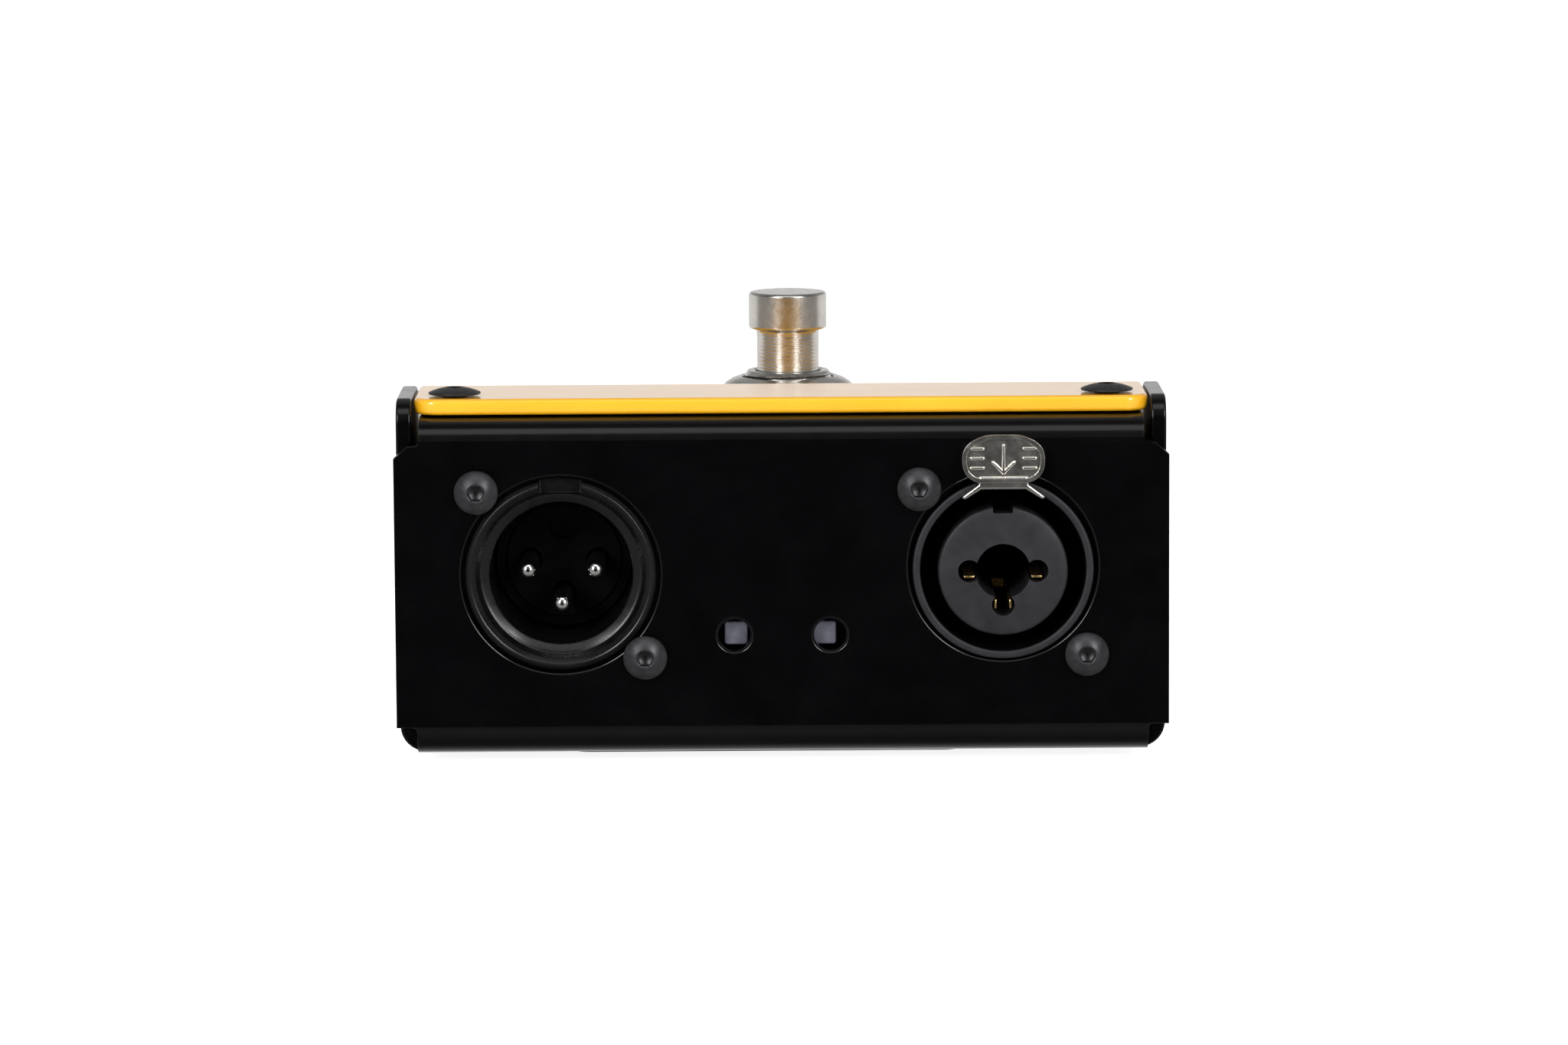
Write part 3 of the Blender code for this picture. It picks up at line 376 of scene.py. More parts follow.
def turned(name, plane, centre, profile, steps=TURN_STEPS):
    """A profile of (radius, distance) points turned about an axis across the plane.

    A profile that starts and ends on the axis is solid, and any other closes on itself.
    """
    solid = profile[0][0] == 0
    sign = 1 if plane == "XY" else -1
    mesh = bpy.data.meshes.new(name)
    points = [(radius * MM, 0, sign * distance * MM) for radius, distance in profile]
    edges = [(i, i + 1) for i in range(len(points) - 1)]
    if not solid:
        edges.append((len(points) - 1, 0))
    mesh.from_pydata(points, edges, [])
    u, v = centre
    place = (u, v, 0) if plane == "XY" else (u, 0, v)
    thing = new_object(name, mesh, Matrix.Translation(at(*place)) @ AXES[plane])
    screw = thing.modifiers.new("Turn", "SCREW")
    screw.steps = steps
    screw.render_steps = steps
    screw.use_merge_vertices = True
    screw.merge_threshold = MERGE
    apply_modifiers(thing)
    return thing


def hole(plane, centre, radius, front, back, edge=0.0, steps=TURN_STEPS):
    """A cutter for a round hole through a sheet, with both of its edges rounded."""
    arc = [math.pi / 2 * i / 6 for i in range(7)] if edge else [math.pi / 2]
    flare = [(radius + edge * (1 - math.sin(a)), edge * (1 - math.cos(a))) for a in arc]
    mouth = [(r, front - SKIN + d) for r, d in flare]
    tail = [(r, back + SKIN - d) for r, d in reversed(flare)]
    wide = radius + edge
    profile = [(0, front - PAST), (wide, front - PAST), *mouth, *tail, (wide, back + PAST), (0, back + PAST)]
    if plane == "XY":
        profile = [(r, d) for r, d in reversed(profile)]
    return turned("hole", plane, centre, profile, steps)


def wire(name, points, radius, scales=None, sides=6):
    """A round wire through places on the box, thinned where a scale is given."""
    curve = bpy.data.curves.new(name, "CURVE")
    curve.dimensions = "3D"
    curve.bevel_depth = radius * MM
    curve.bevel_resolution = sides
    curve.use_fill_caps = True
    spline = curve.splines.new("POLY")
    spline.points.add(len(points) - 1)
    for i, (point, place) in enumerate(zip(spline.points, points)):
        point.co = (*at(*place), 1)
        point.radius = scales[i] if scales else 1.0
    return welded(name, new_object(name, curve, Matrix.Identity(4)))


def combine(target, tools, operation):
    """The target after a Boolean with each tool. The tools are used up."""
    for tool in tools:
        change = target.modifiers.new(operation.title(), "BOOLEAN")
        change.operation = operation
        change.solver = "MANIFOLD"
        change.object = tool
    apply_modifiers(target)
    for tool in tools:
        bpy.data.objects.remove(tool)
    return target


def cut(target, *tools):
    return combine(target, tools, "DIFFERENCE")


def join(target, *tools):
    return combine(target, tools, "UNION")


def soften(thing, width, steps=3, limit=40):
    """Rounds the sharp edges."""
    bevel = thing.modifiers.new("Edges", "BEVEL")
    bevel.width = width * MM
    bevel.segments = steps
    bevel.angle_limit = math.radians(limit)
    apply_modifiers(thing)
    return thing


# ---- materials


def add(tree, kind, inputs=None, **settings):
    """A node with its settings and inputs, each a value or another node's output."""
    made = tree.nodes.new(kind)
    for name, value in settings.items():
        setattr(made, name, value)
    for name, value in (inputs or {}).items():
        socket = made.inputs[name]
        if isinstance(value, bpy.types.NodeSocket):
            tree.links.new(value, socket)
        else:
            socket.default_value = value
    return made


def maths(tree, operation, first, second):
    return add(tree, "ShaderNodeMath", {0: first, 1: second}, operation=operation).outputs[0]


def noise(tree, place, size, detail=3.0, roughness=0.55):
    """Cloudy noise whose features are about size millimetres across."""
    inputs = {"Vector": place, "Scale": 1 / (size * MM), "Detail": detail, "Roughness": roughness}
    return add(tree, "ShaderNodeTexNoise", inputs).outputs["Fac"]


def ranged(tree, value, low, high, start=0.3, end=0.7):
    """The value between start and end, mapped onto low to high."""
    inputs = {"Value": value, "From Min": start, "From Max": end, "To Min": low, "To Max": high}
    return add(tree, "ShaderNodeMapRange", inputs).outputs["Result"]


def blended(tree, factor, first, second):
    """One colour turning into another."""
    ramp = add(tree, "ShaderNodeValToRGB", {"Fac": factor})
    for element, colour, position in zip(ramp.color_ramp.elements, (first, second), (0.3, 0.7)):
        element.color = (*colour, 1)
        element.position = position
    return ramp.outputs["Color"]


def mixed(tree, factor, first, second):
    """A mix of two colours, each a colour or another node's output."""
    colours = [(*colour, 1) if isinstance(colour, tuple) else colour for colour in (first, second)]
    inputs = {0: factor, 6: colours[0], 7: colours[1]}
    return add(tree, "ShaderNodeMix", inputs, data_type="RGBA").outputs[2]


def bumped(tree, height, depth, strength=1.0, under=None):
    """A bump of a height in millimetres, on top of another one."""
    inputs = {"Height": height, "Distance": depth * MM, "Strength": strength}
    if under:
        inputs["Normal"] = under
    return add(tree, "ShaderNodeBump", inputs).outputs["Normal"]


def wear_and_sheen_edges(tree, place, width=0.25, patch=1.2):
    """Nearly 0 on open faces and up to 1 along edges, broken up by noise."""
    flat = add(tree, "ShaderNodeNewGeometry").outputs["Normal"]
    soft = add(tree, "ShaderNodeBevel", {"Radius": width * MM}, samples=4).outputs["Normal"]
    dot = add(tree, "ShaderNodeVectorMath", {0: flat, 1: soft}, operation="DOT_PRODUCT")
    edge = ranged(tree, dot.outputs["Value"], 1.0, 0.0, 0.75, 0.98)
    broken = ranged(tree, noise(tree, place, patch, 4), 0.0, 1.0, 0.4, 0.62)
    return maths(tree, "MULTIPLY", edge, broken)


def surface(name, colours, roughness, metallic=0.0, cloud=6.0, grain=0.3, grain_depth=0.004,
            edge_wear_and_sheen_colour=None, edge_roughness=0.35, specular=0.5, settings=None, pattern=None):
    """A Principled material with cloudy colour, varied roughness, fine grain and edges in a colour of their
    own, which stands for wear and, on the powder coat, partly for a painted highlight.

    The two colours are the ends of the cloud, and the two roughnesses the ends of its sheen.
    A pattern is a function that returns (factor, colour, height) for what lies over the cloud.
    """
    paint = bpy.data.materials.new(name)
    paint.use_nodes = True
    tree = paint.node_tree
    shader = tree.nodes["Principled BSDF"]
    place = add(tree, "ShaderNodeTexCoord").outputs["Object"]
    colour = blended(tree, noise(tree, place, cloud), *colours)
    rough = ranged(tree, noise(tree, place, cloud * 0.45, 5), *roughness)
    normal = bumped(tree, noise(tree, place, grain, 2), grain_depth)
    if pattern:
        factor, over, height = pattern(tree, place)
        colour = mixed(tree, factor, colour, over)
        normal = bumped(tree, height, grain_depth * 4, under=normal)
    # Edges take a colour of their own: wear, and on the powder coat partly a painted highlight.
    if edge_wear_and_sheen_colour:
        wear_and_sheen_mask = wear_and_sheen_edges(tree, place)
        colour = mixed(tree, wear_and_sheen_mask, colour, edge_wear_and_sheen_colour)
        rough = add(tree, "ShaderNodeMix", {0: wear_and_sheen_mask, 2: rough, 3: edge_roughness}).outputs[0]
    tree.links.new(colour, shader.inputs["Base Color"])
    tree.links.new(rough, shader.inputs["Roughness"])
    tree.links.new(normal, shader.inputs["Normal"])
    shader.inputs["Metallic"].default_value = metallic
    shader.inputs["Specular IOR Level"].default_value = specular
    for key, value in (settings or {}).items():
        shader.inputs[key].default_value = value
    return paint


def stripes(tree, place, axis, pitch, distortion=0.0):
    """Bands across an axis, pitch millimetres apart."""
    inputs = {
        "Vector": place, "Scale": 1 / (pitch * MM) / 20 * math.pi, "Distortion": distortion,
        "Detail": 1.0,
    }
    return add(tree, "ShaderNodeTexWave", inputs, bands_direction=axis).outputs["Fac"]


def powder_coat():
    """Black powder coat: fine orange peel, a little dust, and lighter edges that are partly a thinner coat
    and partly a painted highlight.
    """
    return surface(
        "powder_coat_black", ((0.0006, 0.0006, 0.0009), (0.0012, 0.0011, 0.0015)), (0.17, 0.22),
        # The lighter edge colour is partly a thinner coat and partly a painted highlight along the sheet
        # edges.
        cloud=9.0, grain=0.55, grain_depth=0.0025, edge_wear_and_sheen_colour=(0.03, 0.03, 0.032), edge_roughness=0.2,
        specular=0.4,
    )


def yellow_enamel():
    """Glossy enamel with a slight orange peel under a clear coat."""
    return surface(
        "enamel_yellow", ((0.88, 0.42, 0.01), (0.94, 0.47, 0.016)), (0.28, 0.36),
        cloud=14.0, grain=1.6, grain_depth=0.004, edge_wear_and_sheen_colour=(0.95, 0.58, 0.07), edge_roughness=0.25,
        specular=0.4, settings={"Coat Weight": 1.0, "Coat Roughness": 0.12},
    )


def black_oxide():
    return surface(
        "oxide_black", ((0.038, 0.038, 0.041), (0.065, 0.064, 0.068)), (0.34, 0.46), metallic=0.75,
        cloud=1.4, grain=0.16, grain_depth=0.0025, edge_wear_and_sheen_colour=(0.16, 0.155, 0.155), edge_roughness=0.3,
    )


def matt_black():
    """Deep black oxide on the plate's screws, with almost no sheen."""
    return surface(
        "oxide_matt", ((0.012, 0.012, 0.013), (0.022, 0.022, 0.024)), (0.38, 0.5),
        cloud=1.2, grain=0.15, grain_depth=0.002, edge_wear_and_sheen_colour=(0.03, 0.03, 0.03), specular=0.3,
    )


def moulded_nylon():
    """Glass-filled black nylon with the fine matt grain of its mould."""
    return surface(
        "nylon_black", ((0.01, 0.0095, 0.0115), (0.018, 0.0165, 0.02)), (0.42, 0.54),
        cloud=3.0, grain=0.18, grain_depth=0.003, edge_wear_and_sheen_colour=(0.04, 0.038, 0.042), edge_roughness=0.36,
        specular=0.4,
    )


def polished_nylon_and_painted_shade():
    """Black nylon from a polished mould, for the ring and bore that a plug slides in; its colour is darker
    than the moulded nylon's, partly its own gloss black and partly painted shade in the bore.
    """
    return surface(
        "nylon_gloss_and_painted_shade", ((0.0022, 0.002, 0.0025), (0.004, 0.0037, 0.0044)), (0.24, 0.32),
        cloud=3.0, grain=0.5, grain_depth=0.0003, specular=0.45,
    )


def painted_shade_nylon():
    """The same nylon, near black as painted shade at the bottom of the bore, matt and dull."""
    return surface(
        "nylon_painted_shade", ((0.0004, 0.0004, 0.0005), (0.0009, 0.0009, 0.001)), (0.5, 0.62),
        cloud=2.0, grain=0.2, grain_depth=0.0012, specular=0.1,
    )


def turned_rings(tree, place):
    """Fine marks left by the lathe, around the axis of the piece."""
    height = stripes(tree, place, "Z", 0.42, 0.4)
    return 0.0, (0.6, 0.56, 0.5), height


def nickel_plate():
    return surface(
        "nickel_turned", ((0.58, 0.56, 0.53), (0.68, 0.66, 0.62)), (0.23, 0.31), metallic=1.0,
        cloud=2.2, grain=0.3, grain_depth=0.00012, edge_wear_and_sheen_colour=(0.78, 0.75, 0.71), edge_roughness=0.24,
        pattern=turned_rings,
    )


def nickel_pressed():
    return surface(
        "nickel_pressed", ((0.82, 0.79, 0.73), (0.9, 0.87, 0.81)), (0.22, 0.29), metallic=1.0,
        cloud=3.0, grain=0.4, grain_depth=0.0002,
    )


def silver_contact():
    return surface(
        "silver_contact_plate", ((0.75, 0.74, 0.72), (0.88, 0.87, 0.85)), (0.1, 0.18), metallic=1.0,
        cloud=1.0, grain=0.15, grain_depth=0.001,
    )


def brass_contact():
    return surface(
        "brass_contact_plate", ((0.6, 0.4, 0.13), (0.85, 0.62, 0.27)), (0.2, 0.36), metallic=1.0,
        cloud=1.0, grain=0.15, grain_depth=0.001, edge_wear_and_sheen_colour=(0.95, 0.75, 0.4),
    )


def bronze_with_painted_shade():
    """Bronze for the jack's springs, deep in its bore, darkened as painted shade."""
    return surface(
        "bronze_painted_shade", ((0.02, 0.013, 0.006), (0.04, 0.026, 0.012)), (0.35, 0.5), metallic=0.9,
        cloud=1.0, grain=0.15, grain_depth=0.001,
    )


def plated_steel():
    return surface(
        "zinc_plate", ((0.42, 0.43, 0.45), (0.62, 0.63, 0.64)), (0.28, 0.46), metallic=1.0,
        cloud=1.6, grain=0.2, grain_depth=0.002, edge_wear_and_sheen_colour=(0.75, 0.76, 0.77),
    )


def rubber_pad():
    return surface(
        "rubber_black", ((0.02, 0.015, 0.012), (0.04, 0.03, 0.025)), (0.75, 0.95),
        cloud=5.0, grain=0.6, grain_depth=0.02, edge_wear_and_sheen_colour=(0.07, 0.06, 0.055), edge_roughness=0.9,
    )


def milky_lens():
    return surface(
        "lens_milky", ((0.105, 0.105, 0.14), (0.15, 0.15, 0.19)), (0.32, 0.42), cloud=1.0,
        grain=0.25, grain_depth=0.001,
        settings={"Subsurface Weight": 0.35, "Subsurface Radius": (0.001, 0.001, 0.0012)},
    )


def board_traces(tree, place):
    """Copper tracks that show as paler lines through the solder resist."""
    across = stripes(tree, place, "X", 2.54)
    line = ranged(tree, across, 0.0, 1.0, 0.86, 0.93)
    return line, (0.04, 0.26, 0.11), line


def solder_resist():
    return surface(
        "resist_green", ((0.012, 0.11, 0.045), (0.02, 0.16, 0.065)), (0.22, 0.34), cloud=7.0,
        grain=0.5, grain_depth=0.002, pattern=board_traces,
    )


def wound_wire(tree, place):
    turns = stripes(tree, place, "Z", 0.4, 0.3)
    return ranged(tree, turns, 0.0, 0.6, 0.0, 1.0), (0.72, 0.38, 0.17), turns


def copper_winding():
    return surface(
        "winding_copper", ((0.32, 0.13, 0.045), (0.48, 0.22, 0.08)), (0.3, 0.45), metallic=0.6,
        cloud=3.0, grain=0.3, grain_depth=0.01, pattern=wound_wire,
    )


def laminations(tree, place):
    leaves = stripes(tree, place, "Y", 0.5, 0.2)
    return ranged(tree, leaves, 0.0, 0.5, 0.2, 0.9), (0.34, 0.34, 0.36), leaves


def laminated_steel():
    return surface(
        "core_laminated", ((0.14, 0.14, 0.16), (0.24, 0.24, 0.26)), (0.35, 0.55), metallic=0.9,
        cloud=4.0, grain=0.3, grain_depth=0.01, pattern=laminations,
    )


def shrink_sleeve():
    return surface(
        "sleeve_blue", ((0.015, 0.026, 0.1), (0.03, 0.05, 0.17)), (0.25, 0.38), cloud=3.0,
        grain=0.5, grain_depth=0.003, edge_wear_and_sheen_colour=(0.1, 0.13, 0.25),
    )


def wire_cover():
    return surface(
        "insulation_red", ((0.3, 0.02, 0.02), (0.42, 0.04, 0.035)), (0.38, 0.5), cloud=2.0,
        grain=0.3, grain_depth=0.003,
    )


def switch_case():
    return surface(
        "moulding_blue", ((0.01, 0.035, 0.1), (0.02, 0.055, 0.15)), (0.4, 0.55), cloud=3.0,
        grain=0.25, grain_depth=0.005, edge_wear_and_sheen_colour=(0.06, 0.1, 0.2),
    )


def natural_nylon():
    return surface(
        "nylon_natural", ((0.5, 0.47, 0.4), (0.64, 0.61, 0.54)), (0.4, 0.52), cloud=2.0,
        grain=0.25, grain_depth=0.004, edge_wear_and_sheen_colour=(0.75, 0.72, 0.66),
    )


SLOT_PAINTS = {
    "powder_coat": powder_coat(),
    "yellow_enamel": yellow_enamel(),
    "black_screw": black_oxide(),
    "plated_steel": plated_steel(),
    "black_nylon": moulded_nylon(),
    "rubber_pad": rubber_pad(),
    "nickel": nickel_plate(),
    "silver_contact": silver_contact(),
    "brass_contact": brass_contact(),
    "board": solder_resist(),
    "lamp_lens": milky_lens(),
    "winding": copper_winding(),
    "core_steel": laminated_steel(),
    "capacitor_sleeve": shrink_sleeve(),
    "wire_cover": wire_cover(),
    "switch_case": switch_case(),
    "header": natural_nylon(),
}
PAINTED_SHADE_NYLON = painted_shade_nylon()
SLOT_OF = {part["node"]: part["material_slot"] for part in frame["record"]["subparts"]}
BODY_OF = {
    node: body for body, nodes in frame["record"]["behaviour"]["bodies"].items() for node in nodes
}


def stand_for(thing, node, paint=None):
    """Puts a finished piece in the place of its CAD node."""
    thing.name = "fine_" + node
    thing.data.name = thing.name
    thing.data.materials.clear()
    thing.data.materials.append(paint or SLOT_PAINTS[SLOT_OF[node]])
    for face in thing.data.polygons:
        face.material_index = 0
    thing.data.shade_smooth()
    thing.data.set_sharp_from_angle(angle=math.radians(32))
    weighted = thing.modifiers.new("Flat_faces", "WEIGHTED_NORMAL")
    weighted.keep_sharp = True
    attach(thing, BODY_OF[node])
    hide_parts(node)
    return thing


def paint_shade_deep(thing, depth, paint):
    """A second, near-black material as painted shade on the faces that lie further in than a depth behind
    the panel's face.
    """
    thing.data.materials.append(paint)
    for face in thing.data.polygons:
        middle_depth = (thing.matrix_world @ face.center - ORIGIN).y / MM
        face.material_index = int(middle_depth > depth)


# ---- case


def case_strip():
    """The strip folded into flange, connector panel, floor, end panel and flange."""
    path = [
        (FLANGE_LENGTH, FRONT_FLANGE_TOP), (0, FRONT_FLANGE_TOP), (0, 0),
        (CASE_DEPTH, 0), (CASE_DEPTH, REAR_FLANGE_TOP), (CASE_DEPTH - FLANGE_LENGTH, REAR_FLANGE_TOP),
    ]
    outline = folded_sheet(path, SHEET, (TOP_BEND, PANEL_BEND, PANEL_BEND, TOP_BEND))
    strip = slab("strip", "YZ", [outline], -CASE_WIDTH / 2, CASE_WIDTH / 2)
    floor_half = WALL_HALF - SIDE_BEND - SHEET
    outer = CASE_WIDTH / 2 + PAST
    cutters = []
    for side in (-1, 1):
        edge = sorted((side * floor_half, side * outer))
        low = (edge[0], RELIEF_DEPTH, -PAST)
        high = (edge[1], CASE_DEPTH - RELIEF_DEPTH, RELIEF_HEIGHT)
        cutters.append(block("floor_edge", low, high))
        inner = side * (CASE_WIDTH / 2 - RELIEF_WIDTH)
        relief = rectangle(sorted((inner, side * outer)), (-PAST, RELIEF_HEIGHT), RELIEF_CORNER)
        for start, end in ((-PAST, RELIEF_DEPTH), (CASE_DEPTH - RELIEF_DEPTH, CASE_DEPTH + PAST)):
            cutters.append(slab("relief", "XZ", [relief], start, end))
        for top, start in ((FRONT_FLANGE_TOP, 0), (REAR_FLANGE_TOP, CASE_DEPTH - FLANGE_LENGTH)):
            shoulder = top - SHOULDER_DROP
            corner = [
                (side * outer, top - EDGE_DROP - PAST), (side * SHOULDER_HALF, shoulder),
                (side * FLANGE_HALF, shoulder), (side * FLANGE_HALF, top + PAST),
                (side * outer, top + PAST),
            ]
            outline = fillet(corner, (0, 0.4, 0.7, 0, 0), closed=True)
            cutters.append(slab("shoulder", "XZ", [outline], start - PAST, start + FLANGE_LENGTH + PAST))
    return soften(cut(strip, *cutters), SHEET_EDGE)


def case_walls():
    """The two side walls with the floor that joins them, trimmed to the plate's line."""
    top = PLATE_TOP + PAST
    path = [(-WALL_HALF, top), (-WALL_HALF, 0), (WALL_HALF, 0), (WALL_HALF, top)]
    walls = slab("walls", "XZ", [folded_sheet(path, SHEET, (SIDE_BEND, SIDE_BEND))], 0, CASE_DEPTH)
    back = CASE_DEPTH - WALL_START
    relief_back = CASE_DEPTH - RELIEF_DEPTH
    side_view = [
        (RELIEF_DEPTH, -PAST), (RELIEF_DEPTH, RELIEF_HEIGHT), (WALL_START, RELIEF_HEIGHT),
        (WALL_START, PLATE_TOP), (KINK_DEPTH, PLATE_TOP), (RAMP_END, DECK_TOP), (back, DECK_TOP),
        (back, RELIEF_HEIGHT), (relief_back, RELIEF_HEIGHT), (relief_back, -PAST),
    ]
    radii = (0, 0, 0, WALL_CORNER, WALL_CORNER, WALL_CORNER, WALL_CORNER, 0, 0, 0)
    trim = slab("trim", "YZ", [fillet(side_view, radii, closed=True)], -CASE_WIDTH, CASE_WIDTH)
    return soften(combine(walls, [trim], "INTERSECT"), SHEET_EDGE)


def screw_place(node):
    """Centre of a screw seen from its head: x and height on the panel, x and depth on the plate."""
    centre = middle(node)
    return (centre.x, centre.y if "plate" in node else centre.z)


PANEL_SCREWS = ["output_screw_1", "output_screw_2", "input_screw_1", "input_screw_2"]
PLATE_SCREWS = [f"plate_screw_{number}" for number in (1, 2, 3, 4)]


def plate_level(node):
    """Height of the plate under one of its screws."""
    return PLATE_TOP if middle(node).y < CASE_DEPTH / 2 else DECK_TOP


def screw_hole(node, low, high):
    """A cutter for the clearance hole of a screw."""
    plane, shank = ("XY", PLATE_SHANK) if "plate" in node else ("XZ", PANEL_SHANK)
    return hole(plane, screw_place(node), shank + SCREW_CLEARANCE, low, high, 0, 32)


def make_chassis():
    holes = [
        hole("XZ", (OUTPUT.x, OUTPUT.z), OUTPUT_HOLE, 0, SHEET, HOLE_EDGE),
        hole("XZ", (INPUT.x, INPUT.z + INPUT_HOLE_RISE), INPUT_HOLE, 0, SHEET, HOLE_EDGE),
    ]
    holes += [hole("XZ", (x, LAMP_HEIGHT), LAMP_HOLE, 0, SHEET, HOLE_EDGE, 64) for x in LAMP_HOLES]
    holes += [screw_hole(node, 0, SHEET) for node in PANEL_SCREWS]
    for node in PLATE_SCREWS:
        top = plate_level(node) - PLATE_THICK - GAP
        holes.append(screw_hole(node, top - SHEET, top))
    low = (SWITCH.x - NOTCH_HALF, CASE_DEPTH - FLANGE_LENGTH - PAST, REAR_FLANGE_TOP - SHEET - PAST)
    high = (SWITCH.x + NOTCH_HALF, SWITCH.y + NOTCH_HALF, REAR_FLANGE_TOP + PAST)
    holes.append(block("switch_notch", low, high))
    stand_for(cut(join(case_strip(), case_walls()), *holes), "chassis")


def make_top_plate():
    path = [
        (CASE_DEPTH - PLATE_INSET, DECK_TOP), (RAMP_END, DECK_TOP),
        (KINK_DEPTH, PLATE_TOP), (PLATE_INSET, PLATE_TOP),
    ]
    wide = PLATE_HALF + PAST
    sheet = slab("plate", "YZ", [folded_sheet(path, PLATE_THICK, (0.8, 0.8))], -wide, wide)
    depths = (PLATE_INSET, CASE_DEPTH - PLATE_INSET)
    outline = rectangle((-PLATE_HALF, PLATE_HALF), depths, PLATE_CORNER, 12)
    plan = slab("plan", "XY", [outline], DECK_TOP - 2 * PLATE_THICK, PLATE_TOP + PAST)
    plate = soften(combine(sheet, [plan], "INTERSECT"), PLATE_EDGE, 6, 50)
    low = DECK_TOP - PLATE_THICK
    holes = [hole("XY", (SWITCH.x, SWITCH.y), SWITCH_HOLE, low, DECK_TOP, 0.2)]
    for node in PLATE_SCREWS:
        level = plate_level(node)
        holes.append(screw_hole(node, level - PLATE_THICK, level))
    stand_for(cut(plate, *holes), "top_plate")


def make_bottom_pad():
    low, high = span("bottom_pad")
    outline = rectangle((low.x, high.x), (low.y, high.y), 3.0)
    stand_for(soften(slab("pad", "XY", [outline], low.z, high.z), 0.35), "bottom_pad")


# ---- fasteners


def make_screw(node, plane, head, dome, shank, seat, end, paint=None):
    """A domed socket screw from its seat to its end, with a countersunk hexagonal socket."""
    out = 1 if plane == "XY" else -1
    rim = seat + out * GAP
    top = rim + out * dome
    sag = dome - HEAD_RIM
    ball = (head * head + sag * sag) / (2 * sag)
    widest = math.asin(head / ball)
    profile = [(0, top)]
    for step in range(1, 15):
        angle = widest * step / 14
        profile.append((ball * math.sin(angle), top - out * (ball - ball * math.cos(angle))))
    profile += [(head, rim + out * 0.05), (head - 0.08, rim), (shank, rim)]
    profile += [(shank, end + out * 0.4), (shank - 0.35, end), (0, end)]
    screw = turned("screw", plane, screw_place(node), profile, 72)
    depth = min(dome + 0.3, 1.9)
    drop = ball - math.sqrt(ball * ball - SOCKET_MOUTH * SOCKET_MOUTH)
    foot = top - out * (drop + 0.18)
    mouth = [(0, top + out * PAST), (SOCKET_MOUTH + 0.25, top + out * PAST)]
    mouth += [(SOCKET_MOUTH + 0.04, top - out * (drop - 0.04)), (SOCKET_CORNER - 0.14, foot), (0, foot)]
    cone = turned("mouth", plane, screw_place(node), mouth, 72)
    prism = [(0, top + out * PAST), (SOCKET_CORNER, top + out * PAST)]
    prism += [(SOCKET_CORNER, top - out * depth), (0, top - out * (depth + 0.25))]
    socket = turned("socket", plane, screw_place(node), prism, 6)
    stand_for(soften(cut(screw, cone, socket), 0.04, 2, 35), node, paint)


def make_screws():
    for node in PANEL_SCREWS:
        low, high = span(node)
        make_screw(node, "XZ", (high.x - low.x) / 2, -low.y - GAP, PANEL_SHANK, 0, high.y)
    matt = matt_black()
    for node in PLATE_SCREWS:
        low, high = span(node)
        level = plate_level(node)
        dome = high.z - level - GAP
        make_screw(node, "XY", (high.x - low.x) / 2, dome, PLATE_SHANK, level, low.z, matt)


# ---- connectors


def connector_flange(centre, bore, screws):
    """The square flange behind the panel that the connector's two screws hold."""
    sides = (centre.x - FLANGE_SIDE, centre.x + FLANGE_SIDE)
    heights = (centre.z - FLANGE_SIDE, centre.z + FLANGE_SIDE)
    outlines = [rectangle(sides, heights, 2.6), circle(centre.x, centre.z, bore, 96)]
    for node in screws:
        outlines.append(circle(*screw_place(node), PANEL_SHANK + SCREW_CLEARANCE, 32))
    front = SHEET + GAP
    return soften(slab("flange", "XZ", outlines, front, front + FLANGE_THICK), 0.2, 2)


def contact_places(centre):
    """The three contacts: right, left and bottom."""
    x, z = centre.x, centre.z
    return [(x + PIN_CIRCLE, z), (x - PIN_CIRCLE, z), (x, z - PIN_CIRCLE)]


def make_output_shell():
    profile = [
        (OUTPUT_RIM - 0.55, -0.3), (OUTPUT_RIM, 0.25), (OUTPUT_RIM, OUTPUT_LENGTH),
        (OUTPUT_BORE, OUTPUT_LENGTH), (OUTPUT_BORE, 1.9),
        (9.7, 1.4), (10.0, 1.3), (10.45, 0.3), (11.0, -0.2),
    ]
    shell = turned("shell", "XZ", (OUTPUT.x, OUTPUT.z), eased(profile, 0.35, closed=True))
    low = (OUTPUT.x - OUTPUT_NOTCH, -PAST, OUTPUT.z + NOTCH_RISE)
    high = (OUTPUT.x + OUTPUT_NOTCH, SHEET, OUTPUT.z + OUTPUT_RIM + PAST)
    notch = soften(block("notch", low, high), 0.25, 3)
    flange = connector_flange(OUTPUT, OUTPUT_BORE + 1.5, PANEL_SCREWS[:2])
    # The shell's nylon is darker than the moulded nylon: partly its own gloss black, partly painted shade in
    # the bore.
    stand_for(join(cut(shell, notch), flange), "output_shell", polished_nylon_and_painted_shade())


def make_output_insert():
    """The base that holds the pins, with a round post mark and a round-edged hole at each pin."""
    low, high = span("output_insert")
    radius = (high.x - low.x) / 2
    profile = [
        (0, low.y), (radius - 1.3, low.y), (radius - 1.3, low.y + 0.35), (radius, low.y + 0.35),
        (radius, high.y), (0, high.y),
    ]
    base = turned("base", "XZ", (OUTPUT.x, OUTPUT.z), eased(profile, 0.15))
    places = contact_places(OUTPUT)
    tools = [hole("XZ", place, PIN_RADIUS + GAP, low.y, high.y, 0.06, 48) for place in places]
    front, back = low.y - PAST, low.y + RECESS_DEPTH
    recess = [(0, front), (RECESS_RADIUS, front), (RECESS_RADIUS, back), (0, back)]
    tools.append(turned("recess", "XZ", (OUTPUT.x, OUTPUT.z + RECESS_RISE), eased(recess, 0.12), 48))
    # The insert at the bottom of the bore is painted near black as painted shade.
    stand_for(cut(base, *tools), "output_insert", PAINTED_SHADE_NYLON)


